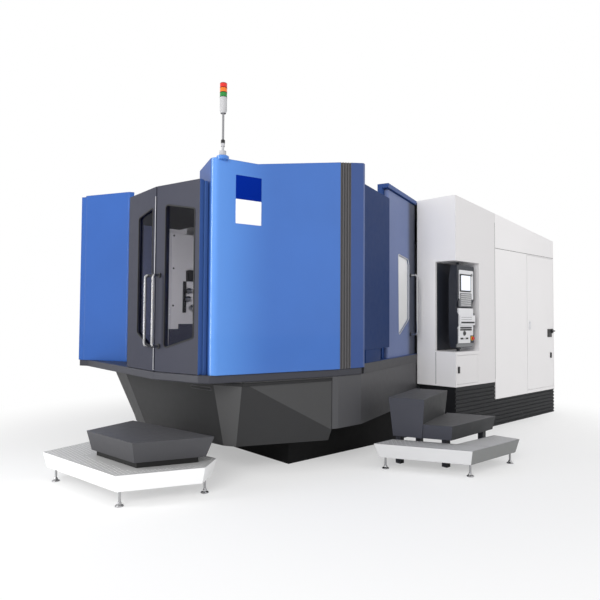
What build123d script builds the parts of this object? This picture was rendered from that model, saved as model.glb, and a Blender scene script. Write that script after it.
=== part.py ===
# Horizontal machining center with a two-pallet changer, a setup station at the front,
# a sliding operator door, a control box and cabinets at the right, and two access platforms.
# Millimetres. +X is the machine's right, +Y its back, +Z up. The origin is on the floor,
# under the middle of the bed.

import math
import os
from build123d import *

os.makedirs("parts", exist_ok=True)

# Heights of the machine
PLINTH_TOP = 385
HULL_LOW = 275
SKIRT_LOW = 905
SHELL_LOW = 975
DOOR_HEAD = 2700
SHELL_HIGH = 2885
CREST_START_Y = -2539
CREST_RISE = 0.18
ROOF_HIGH = 2840

# Bed plinth
PLINTH_HALF = 900
PLINTH_FRONT = -1900
PLINTH_WAIST = 480
PLINTH_BACK = 3400
PLINTH_RIGHT_BACK = 640

# Corner points of the outer skin in plan, from the front left round to the right
LEFT_TIP = (-1412, -3212)
LEFT_INNER = (-789, -2888)
JAMB_LEFT = (-142, -3164)
DOOR_MEET = (470, -3178)
DOOR_RIGHT = (1004, -3030)
RETURN_START = (622, -2808)
FRONT_CORNER = (1113.6, -2977.3)
STRIP_START = (1350, -1620)
STRIP_END = (1347, -1462)
SIDE_CORNER = (1343, -1271)
SHELL_WALL = 50
CORNER_RADIUS = 65

# Operator door wall: it runs from SIDE_CORNER back to the control box
WALL_ANGLE = 109.4
WALL_LENGTH = 1950
COVER_START = 40
COVER_END = 800
COVER_LOW = 1150
COVER_HIGH = 2900
COVER_THICK = 28
DOOR_THICK = 45
DOOR_SETBACK = 48
DOOR_START = 880
DOOR_LENGTH = 1060
DOOR_LOW = 1012
DOOR_HIGH = 3030

# Setup doors
LEAF_THICK = 50
LEAF_LOW = 980
HINGE_INSET = 8
TUBE = 13

# Control box and cabinets
BOX_FACE = 1253
BOX_FRONT = 600
BOX_BACK = 1590
BOX_DEPTH = 563
BOX_LOW = 610
CABINET_BACK = 3470
CABINET_LOW = 370
CABINET_DEPTH = 560
WHITE_HIGH = 3090
WHITE_SLOPE = 0.1115
SEAM_Z = 2490
NICHE_DEEP = 290
NICHE_BACK = 1170
NICHE_LOW = 1060
NICHE_HIGH = 2240

# Machine inside
CENTRE_X = -200
TABLE_Y = 100
PALLET = 500
PALLET_LOW = 1062
PALLET_THICK = 88
PIVOT_Y = -1400
SETUP_Y = -2200
SPINDLE_Z = 1720
SPINDLE_FACE_Y = 760
COLUMN_FRONT = 900
COLUMN_DEPTH = 800
COLUMN_WIDTH = 780
COLUMN_HIGH = 2680
BED_TOP = 800
RAIL_HIGH = 40

# Buttons
BUTTON_X = 130
STOP_Z = 1726
BUTTON_Z = (1651, 1609, 1567)
STOP_STEM = 14
BUTTON_RADIUS = 11
RUNNING_GAP = 0.1
STEM_IN = 22
STEM_BORE = 32

# Tool magazine
MAGAZINE_X = -1560
MAGAZINE_Y = -1100
MAGAZINE_Z = 1740
MAGAZINE_RADIUS = 620
TOOL_COUNT = 24


def along(start, angle, distance, out=0.0):
    """A plan point on a line from start, with a step to the right of the line."""
    a = math.radians(angle)
    x = start[0] + distance * math.cos(a) + out * math.sin(a)
    y = start[1] + distance * math.sin(a) - out * math.cos(a)
    return (x, y)


def heading(start, end):
    """The direction of a plan line in degrees."""
    return math.degrees(math.atan2(end[1] - start[1], end[0] - start[0]))


def inner_line(points, thickness, before=None, after=None):
    """The same plan line, moved to its left by the thickness, with mitred corners.

    before and after are the neighbouring wall's points, so that the ends are mitred too.
    """
    chain = [before or along(points[0], heading(points[0], points[1]), -100)]
    chain += points
    chain.append(after or along(points[-1], heading(points[-2], points[-1]), 100))
    moved = []
    for i, point in enumerate(points):
        before = heading(chain[i], chain[i + 1])
        after = heading(chain[i + 1], chain[i + 2])
        half_turn = (after - before + 180) % 360 - 180
        reach = thickness / math.cos(math.radians(half_turn / 2))
        moved.append(along(point, before + half_turn / 2, 0, -reach))
    return moved


def standing_wall(points, thickness, low, high, before=None, after=None):
    """A sheet wall that stands on a plan line, its thickness to the left of the line."""
    inner = inner_line(points, thickness, before, after)
    with BuildPart() as wall:
        with BuildSketch(Plane.XY.offset(low)):
            with BuildLine():
                Polyline(*points, *reversed(inner), close=True)
            make_face()
        extrude(amount=high - low)
    return wall


def wall_plane(start, angle, out=0.0):
    """A plane on a standing wall: x runs along the wall, y runs up, z points outwards."""
    x, y = along(start, angle, 0, out)
    direction = math.radians(angle)
    return Plane(
        origin=(x, y, 0),
        x_dir=(math.cos(direction), math.sin(direction), 0),
        z_dir=(math.sin(direction), -math.cos(direction), 0),
    )


def corner_edges(part, point, reach=5):
    """The upright edges that stand over one plan point."""
    edges = part.edges().filter_by(Axis.Z)
    return edges.filter_by(
        lambda e: math.hypot(e.center().X - point[0], e.center().Y - point[1]) < reach
    )


def save(node, name):
    """Label a finished piece and write its file."""
    node.part.label = name
    export_step(node.part, f"parts/{name}.step")


# Bed plinth: the black base casting that stands on the floor, narrower beside the cabinets
PLINTH_LINE = [
    (-PLINTH_HALF, PLINTH_FRONT),
    (PLINTH_HALF, PLINTH_FRONT),
    (PLINTH_HALF, PLINTH_WAIST),
    (PLINTH_RIGHT_BACK, PLINTH_WAIST),
    (PLINTH_RIGHT_BACK, PLINTH_BACK),
    (-PLINTH_HALF, PLINTH_BACK),
]
with BuildPart() as bed_plinth:
    with BuildSketch():
        with BuildLine():
            Polyline(*PLINTH_LINE, close=True)
        make_face()
    extrude(amount=PLINTH_TOP)
    chamfer(bed_plinth.faces().sort_by(Axis.Z)[-1].edges(), 40)
save(bed_plinth, "bed_plinth")

# Bed: a T of cast iron, the stem carries the table and the cross bar the column
STEM_WIDTH = 620
POST_RADIUS = 150
POST_HIGH = 900
STEM_FRONT = -1150
STEM_BACK = 640
CROSS_WIDTH = 1560
CROSS_BACK = 1900
with BuildPart() as bed:
    with BuildSketch(Plane.XY.offset(PLINTH_TOP)):
        with Locations((CENTRE_X, (STEM_FRONT + STEM_BACK) / 2)):
            Rectangle(STEM_WIDTH + 160, STEM_BACK - STEM_FRONT)
        with Locations((CENTRE_X, (STEM_BACK + CROSS_BACK) / 2)):
            Rectangle(CROSS_WIDTH, CROSS_BACK - STEM_BACK)
    extrude(amount=BED_TOP - PLINTH_TOP, taper=4)
    # Pedestal of the pallet changer, cast on the front end of the stem
    with BuildSketch(Plane.XY.offset(PLINTH_TOP)):
        with Locations((CENTRE_X, (PIVOT_Y + STEM_FRONT) / 2 + 20)):
            Rectangle(2 * POST_RADIUS, STEM_FRONT - PIVOT_Y + 40)
    extrude(amount=260)
    with BuildSketch(Plane.XY.offset(PLINTH_TOP)):
        with Locations((CENTRE_X, PIVOT_Y)):
            Circle(POST_RADIUS)
    extrude(amount=POST_HIGH - PLINTH_TOP)
    # Coolant trough between the table ways
    with BuildSketch(Plane.XY.offset(BED_TOP)):
        with Locations((CENTRE_X, (STEM_FRONT + STEM_BACK) / 2)):
            Rectangle(240, STEM_BACK - STEM_FRONT - 200)
    extrude(amount=-90, mode=Mode.SUBTRACT)
save(bed, "bed")

# Guide rails on the bed: two for the table, two for the column
TABLE_RAIL_X = 190
COLUMN_RAIL_Y = (1010, 1590)
with BuildPart() as bed_rails:
    with BuildSketch(Plane.XY.offset(BED_TOP)):
        with Locations(
            (CENTRE_X - TABLE_RAIL_X, (STEM_FRONT + STEM_BACK) / 2),
            (CENTRE_X + TABLE_RAIL_X, (STEM_FRONT + STEM_BACK) / 2),
        ):
            Rectangle(55, STEM_BACK - STEM_FRONT - 120)
        with Locations(*[(CENTRE_X, y) for y in COLUMN_RAIL_Y]):
            Rectangle(CROSS_WIDTH - 100, 60)
    extrude(amount=RAIL_HIGH)
save(bed_rails, "bed_rails")

# Front hull: the faceted tub under the setup station, folded from thick plate
HULL_LEFT = -900
HULL_BACK = -1700
FRONT_FACET = ((804, -2623, 275), (0.133, -0.947, -0.289))
LEFT_FACET = ((-650, -2780, 350), (-0.184, -0.920, -0.345))
RIGHT_FACET = ((804, -2623, 275), (0.455, -0.838, -0.300))
UNDER_POINTS = ((920, -2560, 275), (1313, -1710, 388), (1172, -2594, 893))
FLANK_ANGLE = heading(FRONT_CORNER, STRIP_START)
FLANK_INSET = 20


def plane_through(a, b, c):
    """A plane through three points, its normal by the right-hand rule."""
    va, vb, vc = Vector(*a), Vector(*b), Vector(*c)
    return Plane(origin=va, z_dir=(vb - va).cross(vc - va))


def hull_block(inset):
    """The outside of the hull, with every facet moved in by the inset."""
    flank = along(FRONT_CORNER, FLANK_ANGLE, 0, -FLANK_INSET)
    facets = [Plane(origin=FRONT_FACET[0], z_dir=FRONT_FACET[1])]
    facets.append(Plane(origin=LEFT_FACET[0], z_dir=LEFT_FACET[1]))
    facets.append(Plane(origin=RIGHT_FACET[0], z_dir=RIGHT_FACET[1]))
    facets.append(plane_through(*UNDER_POINTS))
    angle = math.radians(FLANK_ANGLE)
    facets.append(Plane(origin=(*flank, 0), z_dir=(math.sin(angle), -math.cos(angle), 0)))
    with BuildPart() as block:
        with BuildSketch(Plane.XY.offset(HULL_LOW + inset)):
            with BuildLine():
                Polyline(
                    (HULL_LEFT + inset, -3300),
                    (1500, -3300),
                    (1500, HULL_BACK),
                    (HULL_LEFT + inset, HULL_BACK),
                    close=True,
                )
            make_face()
        extrude(amount=SKIRT_LOW - HULL_LOW - inset)
        for facet in facets:
            split(bisect_by=facet.offset(-inset), keep=Keep.BOTTOM)
    return block


HULL_PLATE = 16
with BuildPart() as front_hull:
    add(hull_block(0).part)
    add(hull_block(HULL_PLATE).part, mode=Mode.SUBTRACT)
    # The back is open where the hull meets the bed
    with BuildSketch(Plane.XY.offset(HULL_LOW)):
        with Locations((0, (PLINTH_FRONT + HULL_BACK) / 2)):
            Rectangle(2 * PLINTH_HALF + 4, HULL_BACK - PLINTH_FRONT + 4)
    extrude(amount=PLINTH_TOP - HULL_LOW + 2, mode=Mode.SUBTRACT)
save(front_hull, "front_hull")

# Side casing: the grey sheet under the blue flank and under the operator door
CASING_LINE = [
    along(FRONT_CORNER, FLANK_ANGLE, 1300, -FLANK_INSET),
    (1330, -1620),
    (1323, -1277),
    along(SIDE_CORNER, WALL_ANGLE, WALL_LENGTH - 20, -FLANK_INSET),
]
side_casing = standing_wall(CASING_LINE, 20, PLINTH_TOP + 5, SKIRT_LOW)
save(side_casing, "side_casing")

# Base pan: the sheet floor around the bed that the side and back covers stand on
PAN_HIGH = 20
COVER_WALL = 40
LEFT_X = -1400
BUMP_X = -1850
BUMP_FRONT = -1850
BUMP_BACK = -350
COVER_LINE = [
    (690, CABINET_BACK),
    (LEFT_X, CABINET_BACK),
    (LEFT_X, BUMP_BACK),
    (BUMP_X, BUMP_BACK),
    (BUMP_X, BUMP_FRONT),
    (LEFT_X, BUMP_FRONT),
    (LEFT_X, -2500),
]
with BuildPart() as base_pan:
    with BuildSketch(Plane.XY.offset(PLINTH_TOP)):
        with BuildLine():
            Polyline(
                (LEFT_X, HULL_BACK),
                (LEFT_X, CABINET_BACK),
                (690, CABINET_BACK),
                (645, 555),
                (1275, -1280),
                (1285, HULL_BACK),
                close=True,
            )
        make_face()
        with BuildLine():
            Polyline(
                (BUMP_X, BUMP_FRONT),
                (BUMP_X, BUMP_BACK),
                (LEFT_X, BUMP_BACK),
                (LEFT_X, BUMP_FRONT),
                close=True,
            )
        make_face()
        with Locations((CENTRE_X, (STEM_FRONT + STEM_BACK) / 2)):
            Rectangle(STEM_WIDTH + 162, STEM_BACK - STEM_FRONT + 2, mode=Mode.SUBTRACT)
        with Locations((CENTRE_X, (STEM_BACK + CROSS_BACK) / 2)):
            Rectangle(CROSS_WIDTH + 2, CROSS_BACK - STEM_BACK + 2, mode=Mode.SUBTRACT)
        with Locations((CENTRE_X, PIVOT_Y)):
            Circle(POST_RADIUS + 1, mode=Mode.SUBTRACT)
        with Locations((CENTRE_X, (PIVOT_Y + STEM_FRONT) / 2)):
            Rectangle(2 * POST_RADIUS + 2, STEM_FRONT - PIVOT_Y, mode=Mode.SUBTRACT)
    extrude(amount=PAN_HIGH)
save(base_pan, "base_pan")

# Left and back cover: sheet walls round the column, with a bay for the tool magazine
BACK_PROFILE = [
    (-3300, ROOF_HIGH),
    (560, ROOF_HIGH),
    (560, WHITE_HIGH),
    (600, WHITE_HIGH),
    (CABINET_BACK + 100, WHITE_HIGH - WHITE_SLOPE * (CABINET_BACK - 500)),
]


def space_above(profile, top=3500):
    """Everything above a roof line that is drawn from the side."""
    with BuildPart() as space:
        with BuildSketch(Plane.YZ.offset(-3000)):
            with BuildLine():
                Polyline(*profile, (profile[-1][0], top), (profile[0][0], top), close=True)
            make_face()
        extrude(amount=6000)
    return space.part


with BuildPart() as left_cover:
    add(standing_wall(COVER_LINE, COVER_WALL, PLINTH_TOP + PAN_HIGH, 3200).part)
    add(space_above(BACK_PROFILE), mode=Mode.SUBTRACT)
save(left_cover, "left_cover")

# Inner wall of the setup station: light sheet with a pleat and a window to the magazine
INNER_FRONT = -2640
with BuildPart() as inner_wall:
    with BuildSketch(Plane.XY.offset(SHELL_LOW)):
        with BuildLine():
            Polyline(
                (LEFT_X + COVER_WALL, INNER_FRONT),
                (LEFT_X + COVER_WALL + 16, INNER_FRONT),
                (LEFT_X + COVER_WALL + 16, -2120),
                (LEFT_X + COVER_WALL + 60, -2060),
                (LEFT_X + COVER_WALL + 60, -2010),
                (LEFT_X + COVER_WALL + 16, -1990),
                (LEFT_X + COVER_WALL + 16, BUMP_BACK + 30),
                (LEFT_X + COVER_WALL, BUMP_BACK + 30),
                close=True,
            )
        make_face()
    extrude(amount=2600 - SHELL_LOW)
    with BuildSketch(Plane.YZ.offset(LEFT_X)):
        with Locations(((BUMP_FRONT + BUMP_BACK) / 2 + 40, MAGAZINE_Z)):
            RectangleRounded(1180, 560, 40)
    extrude(amount=160, mode=Mode.SUBTRACT)
save(inner_wall, "inner_wall")

# Deck: the plate under the blue housings, open over the hull, its edge is the grey skirt
DECK_INSET = 12
with BuildPart() as deck:
    with BuildSketch(Plane.XY.offset(SKIRT_LOW)):
        with BuildLine():
            Polyline(
                (-1302, -3136),
                (DOOR_MEET[0], DOOR_MEET[1] - 6),
                (DOOR_RIGHT[0] + 6, DOOR_RIGHT[1]),
                (1095, -2968),
                along(FRONT_CORNER, FLANK_ANGLE, 60, -DECK_INSET),
                (1337, -1620),
                (1331, -1278),
                (1240, -1278),
                (1240, HULL_BACK),
                (HULL_LEFT, HULL_BACK),
                (HULL_LEFT, -2500),
                (-1388, -2500),
                (-1398, -3190),
                close=True,
            )
        make_face()
        with BuildLine():
            Polyline(
                (-760, -2760),
                (-140, -3060),
                (450, -3070),
                (960, -2900),
                (1150, -1800),
                (-760, -1800),
                close=True,
            )
        make_face(mode=Mode.SUBTRACT)
    extrude(amount=SHELL_LOW - SKIRT_LOW)
save(deck, "deck")

# Left blue housing: a rounded two-skin cover that stands on the deck
LEFT_HIGH = 2915
with BuildPart() as left_housing:
    add(
        standing_wall(
            [(-1424, -2512), LEFT_TIP, LEFT_INNER, (-768, -2836)],
            SHELL_WALL,
            SHELL_LOW,
            LEFT_HIGH,
        ).part
    )
    fillet(corner_edges(left_housing, LEFT_TIP), CORNER_RADIUS)
    fillet(corner_edges(left_housing, LEFT_INNER), 40)
save(left_housing, "left_housing")

# Right blue housing: return, rounded corner and long flank, with a crest that rises backwards
CREST_PROFILE = [
    (-3300, SHELL_HIGH),
    (CREST_START_Y, SHELL_HIGH),
    (-1271, SHELL_HIGH + CREST_RISE * (-1271 - CREST_START_Y)),
    (0, SHELL_HIGH + CREST_RISE * (-1271 - CREST_START_Y)),
]
with BuildPart() as right_housing:
    add(
        standing_wall(
            [RETURN_START, FRONT_CORNER, STRIP_START], SHELL_WALL, SHELL_LOW, 3200, after=STRIP_END
        ).part
    )
    fillet(corner_edges(right_housing, FRONT_CORNER), CORNER_RADIUS)
    add(space_above(CREST_PROFILE), mode=Mode.SUBTRACT)
    # Bores in the return for the stems of the stop and of the push buttons
    with BuildSketch(wall_plane(RETURN_START, heading(RETURN_START, FRONT_CORNER))):
        with Locations((BUTTON_X, STOP_Z)):
            Circle(STOP_STEM + RUNNING_GAP)
        with Locations(*[(BUTTON_X, z) for z in BUTTON_Z]):
            Circle(BUTTON_RADIUS + RUNNING_GAP)
    extrude(amount=-STEM_BORE, mode=Mode.SUBTRACT)
save(right_housing, "right_housing")

# Corner strip: a dark extrusion with four flutes between the flank and the side post
FLUTES = 4
strip_length = math.dist(STRIP_START, STRIP_END)
strip_angle = heading(STRIP_START, STRIP_END)
flute_pitch = strip_length / FLUTES
with BuildPart() as corner_strip:
    add(
        standing_wall(
            [STRIP_START, STRIP_END], SHELL_WALL, SHELL_LOW, 3200, FRONT_CORNER, SIDE_CORNER
        ).part
    )
    for i in range(FLUTES):
        x, y = along(STRIP_START, strip_angle, flute_pitch * (i + 0.5), 4)
        with BuildSketch(Plane.XY.offset(SHELL_LOW)):
            with Locations(Location((x, y), strip_angle)):
                RectangleRounded(flute_pitch * 0.62, 36, 7)
        extrude(amount=2300, mode=Mode.SUBTRACT)
    add(space_above(CREST_PROFILE), mode=Mode.SUBTRACT)
save(corner_strip, "corner_strip")

# Side post and pocket cover: the blue post and the panel that the operator door slides behind
COVER_LINE_START = along(SIDE_CORNER, WALL_ANGLE, COVER_START)
with BuildPart() as side_post:
    add(
        standing_wall(
            [STRIP_END, SIDE_CORNER, COVER_LINE_START], SHELL_WALL, SHELL_LOW, 3200, STRIP_START
        ).part
    )
    fillet(corner_edges(side_post, SIDE_CORNER), 12)
    add(space_above(CREST_PROFILE), mode=Mode.SUBTRACT)
save(side_post, "side_post")

with BuildPart() as pocket_cover:
    add(
        standing_wall(
            [COVER_LINE_START, along(SIDE_CORNER, WALL_ANGLE, COVER_END)],
            COVER_THICK,
            COVER_LOW,
            COVER_HIGH,
        ).part
    )
save(pocket_cover, "pocket_cover")

# Door frame of the operator door: sill, posts and header behind the sliding door
FRAME_OUT = DOOR_SETBACK + DOOR_THICK + 5
FRAME_DEEP = 60
FRAME_START = 820
SILL_START = 62
with BuildPart() as door_frame:
    with BuildSketch(wall_plane(SIDE_CORNER, WALL_ANGLE, -FRAME_OUT)):
        with Locations(((FRAME_START + WALL_LENGTH) / 2, (SKIRT_LOW + 3040) / 2)):
            Rectangle(WALL_LENGTH - FRAME_START, 3040 - SKIRT_LOW)
        with Locations(((900 + 1890) / 2, (1015 + 2950) / 2)):
            RectangleRounded(990, 1935, 50, mode=Mode.SUBTRACT)
    extrude(amount=-FRAME_DEEP)
    with BuildSketch(wall_plane(SIDE_CORNER, WALL_ANGLE, -FRAME_OUT - FRAME_DEEP)):
        with Locations(((SILL_START + WALL_LENGTH) / 2, (SKIRT_LOW + DOOR_LOW) / 2)):
            Rectangle(WALL_LENGTH - SILL_START, DOOR_LOW - SKIRT_LOW)
    extrude(amount=FRAME_OUT + FRAME_DEEP - DECK_INSET)
    with BuildSketch(wall_plane(SIDE_CORNER, WALL_ANGLE, -FRAME_OUT - FRAME_DEEP)):
        with Locations(((FRAME_START + WALL_LENGTH) / 2, 3065)):
            Rectangle(WALL_LENGTH - FRAME_START, 50)
    extrude(amount=FRAME_OUT + FRAME_DEEP - 20)
save(door_frame, "door_frame")

# Operator door: a sliding sheet door with a cut window, glass and a round-bar handle
WINDOW_POINTS = [(1258, 2291), (1644, 2262), (1683, 2192), (1677, 1481), (1285, 1277)]


def handle_bar(plane, x, low, high, stand, radius):
    """A round bar bent to a D, its two feet on the face of the plane."""
    with BuildPart() as bar:
        foot = [
            plane.from_local_coords(Vector(x, low, 0)),
            plane.from_local_coords(Vector(x, low, stand)),
            plane.from_local_coords(Vector(x, high, stand)),
            plane.from_local_coords(Vector(x, high, 0)),
        ]
        with BuildLine() as path:
            FilletPolyline(*foot, radius=2.2 * radius)
        with BuildSketch(Plane(origin=foot[0], z_dir=plane.z_dir)):
            Circle(radius)
        sweep(path=path.line)
        for end in (low, high):
            with BuildSketch(
                Plane(
                    origin=plane.from_local_coords(Vector(x, end, 0)),
                    x_dir=plane.x_dir,
                    z_dir=plane.z_dir,
                )
            ):
                Circle(radius * 1.7)
            extrude(amount=7)
    return bar


door_face = wall_plane(SIDE_CORNER, WALL_ANGLE, -DOOR_SETBACK)
with BuildPart() as operator_door:
    with BuildSketch(door_face):
        with Locations((DOOR_START + DOOR_LENGTH / 2, (DOOR_LOW + DOOR_HIGH) / 2)):
            Rectangle(DOOR_LENGTH, DOOR_HIGH - DOOR_LOW)
    extrude(amount=-DOOR_THICK)
    with BuildSketch(door_face):
        with BuildLine():
            Polyline(*WINDOW_POINTS, close=True)
        make_face()
        fillet(vertices(), 28)
    extrude(amount=-DOOR_THICK, mode=Mode.SUBTRACT)
    fillet(corner_edges(operator_door, along(SIDE_CORNER, WALL_ANGLE, DOOR_START, -DOOR_SETBACK)), 30)
save(operator_door, "operator_door")

with BuildPart() as operator_glass:
    with BuildSketch(door_face.offset(-14)):
        with BuildLine():
            Polyline(*WINDOW_POINTS, close=True)
        make_face()
        fillet(vertices(), 28)
    extrude(amount=-12)
save(operator_glass, "operator_glass")

operator_handle = handle_bar(door_face, 1745, 1280, 2062, 95, 15)
save(operator_handle, "operator_handle")

# Front frame: dark jamb panel, header and right post that carry the setup doors
FRAME_TOP = 2692
with BuildPart() as front_frame:
    add(
        standing_wall(
            [(LEFT_INNER[0] + 22, LEFT_INNER[1] - 2), (JAMB_LEFT[0] - 34, JAMB_LEFT[1] + 16)],
            45,
            SHELL_LOW,
            FRAME_TOP,
        ).part
    )
    header = inner_line([(JAMB_LEFT[0] - 12, JAMB_LEFT[1]), DOOR_MEET, (990, -3034)], LEAF_THICK + 6)
    add(standing_wall(header, 45, 2610, FRAME_TOP).part)
    with BuildSketch(Plane.XY.offset(SHELL_LOW)):
        with BuildLine():
            Polyline((945, -2988), (1002, -2973), (1002, -2944), (945, -2924), close=True)
        make_face()
    extrude(amount=FRAME_TOP - SHELL_LOW)
    add(standing_wall([(-215, -3111), (-90, -3112)], 45, SHELL_LOW, FRAME_TOP).part)
save(front_frame, "front_frame")

# Setup doors: two hinged leaves with a cut window, glass and a round-bar handle each
LEFT_LEAF_ANGLE = heading(JAMB_LEFT, DOOR_MEET)
RIGHT_LEAF_ANGLE = heading(DOOR_MEET, DOOR_RIGHT)
LEFT_LEAF = math.dist(JAMB_LEFT, DOOR_MEET)
RIGHT_LEAF = math.dist(DOOR_MEET, DOOR_RIGHT)
LEAF_GAP = 3
LEFT_WINDOW = [(235, 2452), (545, 2508), (545, 1221), (457, 1221), (235, 1330)]
RIGHT_WINDOW = [(130, 2513), (492, 2440), (492, 1300), (130, 1199)]


def door_leaf(plane, start, end, window, hinge):
    """A leaf on its plane with a rounded window, and the pivot pin that it stands on."""
    with BuildPart() as leaf:
        with BuildSketch(plane):
            with Locations(((start + end) / 2, (LEAF_LOW + DOOR_HEAD) / 2)):
                Rectangle(end - start, DOOR_HEAD - LEAF_LOW)
        extrude(amount=-LEAF_THICK)
        with BuildSketch(plane):
            with BuildLine():
                Polyline(*window, close=True)
            make_face()
            fillet(vertices(), 26)
        extrude(amount=-LEAF_THICK, mode=Mode.SUBTRACT)
        pin = plane.from_local_coords(Vector(hinge, 0, -HINGE_INSET))
        with BuildSketch(Plane.XY.offset(SHELL_LOW)):
            with Locations((pin.X, pin.Y)):
                Circle(HINGE_INSET)
        extrude(amount=LEAF_LOW - SHELL_LOW)
    return leaf


def leaf_glass(plane, window):
    """The pane that fills a leaf's window."""
    with BuildPart() as glass:
        with BuildSketch(plane.offset(-16)):
            with BuildLine():
                Polyline(*window, close=True)
            make_face()
            fillet(vertices(), 26)
        extrude(amount=-10)
    return glass


left_leaf_plane = wall_plane(JAMB_LEFT, LEFT_LEAF_ANGLE)
right_leaf_plane = wall_plane(DOOR_MEET, RIGHT_LEAF_ANGLE)
setup_door_left = door_leaf(
    left_leaf_plane, 0, LEFT_LEAF - LEAF_GAP, LEFT_WINDOW, HINGE_INSET
)
save(setup_door_left, "setup_door_left")
setup_glass_left = leaf_glass(left_leaf_plane, LEFT_WINDOW)
save(setup_glass_left, "setup_glass_left")
setup_handle_left = handle_bar(left_leaf_plane, LEFT_LEAF - 40, 1212, 1866, 78, TUBE)
save(setup_handle_left, "setup_handle_left")
# The meeting edge of the right leaf is cut back so that the leaves clear at the angle
MEET_CLEAR = 12
setup_door_right = door_leaf(
    right_leaf_plane, MEET_CLEAR, RIGHT_LEAF, RIGHT_WINDOW, RIGHT_LEAF - HINGE_INSET
)
save(setup_door_right, "setup_door_right")
setup_glass_right = leaf_glass(right_leaf_plane, RIGHT_WINDOW)
save(setup_glass_right, "setup_glass_right")
setup_handle_right = handle_bar(right_leaf_plane, 60, 1212, 1866, 78, TUBE)
save(setup_handle_right, "setup_handle_right")

# Roof: a stepped sheet over the station, the work area and the column
ROOF_SHEET = 40
STATION_ROOF = 2655
STEP_Y = -1950


def roof_level(points, low):
    """One flat part of the roof."""
    with BuildPart() as plate:
        with BuildSketch(Plane.XY.offset(low)):
            with BuildLine():
                Polyline(*points, close=True)
            make_face()
        extrude(amount=ROOF_SHEET)
    return plate.part


flank_inner = inner_line([RETURN_START, FRONT_CORNER, STRIP_START], SHELL_WALL + 1, after=STRIP_END)
strip_inner = inner_line([STRIP_START, STRIP_END, SIDE_CORNER], SHELL_WALL + 1, before=FRONT_CORNER)
front_inner = inner_line([JAMB_LEFT, DOOR_MEET, DOOR_RIGHT], LEAF_THICK + 56)
flank_angle_inner = heading(flank_inner[1], flank_inner[2])
step_right = along(
    flank_inner[1],
    flank_angle_inner,
    (STEP_Y - flank_inner[1][1]) / math.sin(math.radians(flank_angle_inner)),
)
wall_inner_start = along(SIDE_CORNER, WALL_ANGLE, 0, -FRAME_OUT - FRAME_DEEP - 2)
wall_inner_end = along(SIDE_CORNER, WALL_ANGLE, WALL_LENGTH, -FRAME_OUT - FRAME_DEEP - 2)
with BuildPart() as roof:
    add(
        roof_level(
            [
                (-1360, STEP_Y),
                (-1360, -2560),
                (-1360, -3100),
                (-830, -2820),
                (-760, -2770),
                front_inner[0],
                front_inner[1],
                (930, -2940),
                (930, -2920),
                (612, -2811),
                (634, -2757),
                flank_inner[0],
                flank_inner[1],
                step_right,
            ],
            STATION_ROOF,
        )
    )
    add(
        roof_level(
            [
                (-1360, STEP_Y),
                step_right,
                flank_inner[2],
                strip_inner[1],
                wall_inner_start,
                wall_inner_end,
                (wall_inner_end[0], 600),
                (-1360, 600),
                (-1360, BUMP_BACK - 40),
                (-1810, BUMP_BACK - 40),
                (-1810, BUMP_FRONT + 40),
                (-1360, BUMP_FRONT + 40),
            ],
            ROOF_HIGH - ROOF_SHEET,
        )
    )
    with BuildSketch(Plane.YZ.offset(-1360)):
        with BuildLine():
            Polyline(
                (560, ROOF_HIGH),
                (560, WHITE_HIGH),
                (600, WHITE_HIGH),
                (3430, WHITE_HIGH - WHITE_SLOPE * 2830),
                (3430, WHITE_HIGH - WHITE_SLOPE * 2830 - ROOF_SHEET),
                (600, WHITE_HIGH - ROOF_SHEET),
                (600, ROOF_HIGH),
                close=True,
            )
        make_face()
    extrude(amount=1360 + 640)
    with BuildSketch(Plane.XY.offset(STATION_ROOF)):
        with BuildLine():
            Polyline(
                (-1360, STEP_Y),
                step_right,
                (step_right[0], STEP_Y + 30),
                (-1360, STEP_Y + 30),
                close=True,
            )
        make_face()
    extrude(amount=ROOF_HIGH - STATION_ROOF)
save(roof, "roof")

# Control box: the white corner cabinet, with a niche for the pendant and a small hatch
HATCH = (625, 1130, 645, 1012)
HATCH_THICK = 18
HATCH_DEEP = 160
box_profile = [
    (BOX_FACE, BOX_FRONT),
    (BOX_FACE, BOX_BACK),
    (BOX_FACE - BOX_DEPTH, BOX_BACK),
    (BOX_FACE - BOX_DEPTH, BOX_FRONT - 50),
]
with BuildPart() as control_box:
    with BuildSketch(Plane.XY.offset(BOX_LOW)):
        with BuildLine():
            Polyline(*box_profile, close=True)
        make_face()
    extrude(amount=WHITE_HIGH - BOX_LOW)
    add(space_above([(0, WHITE_HIGH), (BOX_FRONT, WHITE_HIGH), (4000, WHITE_HIGH - WHITE_SLOPE * 3400)]),
        mode=Mode.SUBTRACT)
    with BuildSketch(Plane.XY.offset(NICHE_LOW)):
        with BuildLine():
            Polyline(
                (BOX_FACE + 5, BOX_FRONT - 20),
                (BOX_FACE + 5, NICHE_BACK),
                (BOX_FACE - NICHE_DEEP, NICHE_BACK),
                (BOX_FACE - NICHE_DEEP, BOX_FRONT - 60),
                close=True,
            )
        make_face()
    extrude(amount=NICHE_HIGH - NICHE_LOW, mode=Mode.SUBTRACT)
    with BuildSketch(Plane.YZ.offset(BOX_FACE)):
        with Locations(((HATCH[0] + HATCH[1]) / 2, (HATCH[2] + HATCH[3]) / 2)):
            Rectangle(HATCH[1] - HATCH[0] + 6, HATCH[3] - HATCH[2] + 6)
    extrude(amount=-HATCH_THICK, mode=Mode.SUBTRACT)
    with BuildSketch(Plane.YZ.offset(BOX_FACE)):
        with Locations(((HATCH[0] + HATCH[1]) / 2, (HATCH[2] + HATCH[3]) / 2)):
            Rectangle(HATCH[1] - HATCH[0] - 50, HATCH[3] - HATCH[2] - 50)
    extrude(amount=-HATCH_DEEP, mode=Mode.SUBTRACT)
save(control_box, "control_box")

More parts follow.
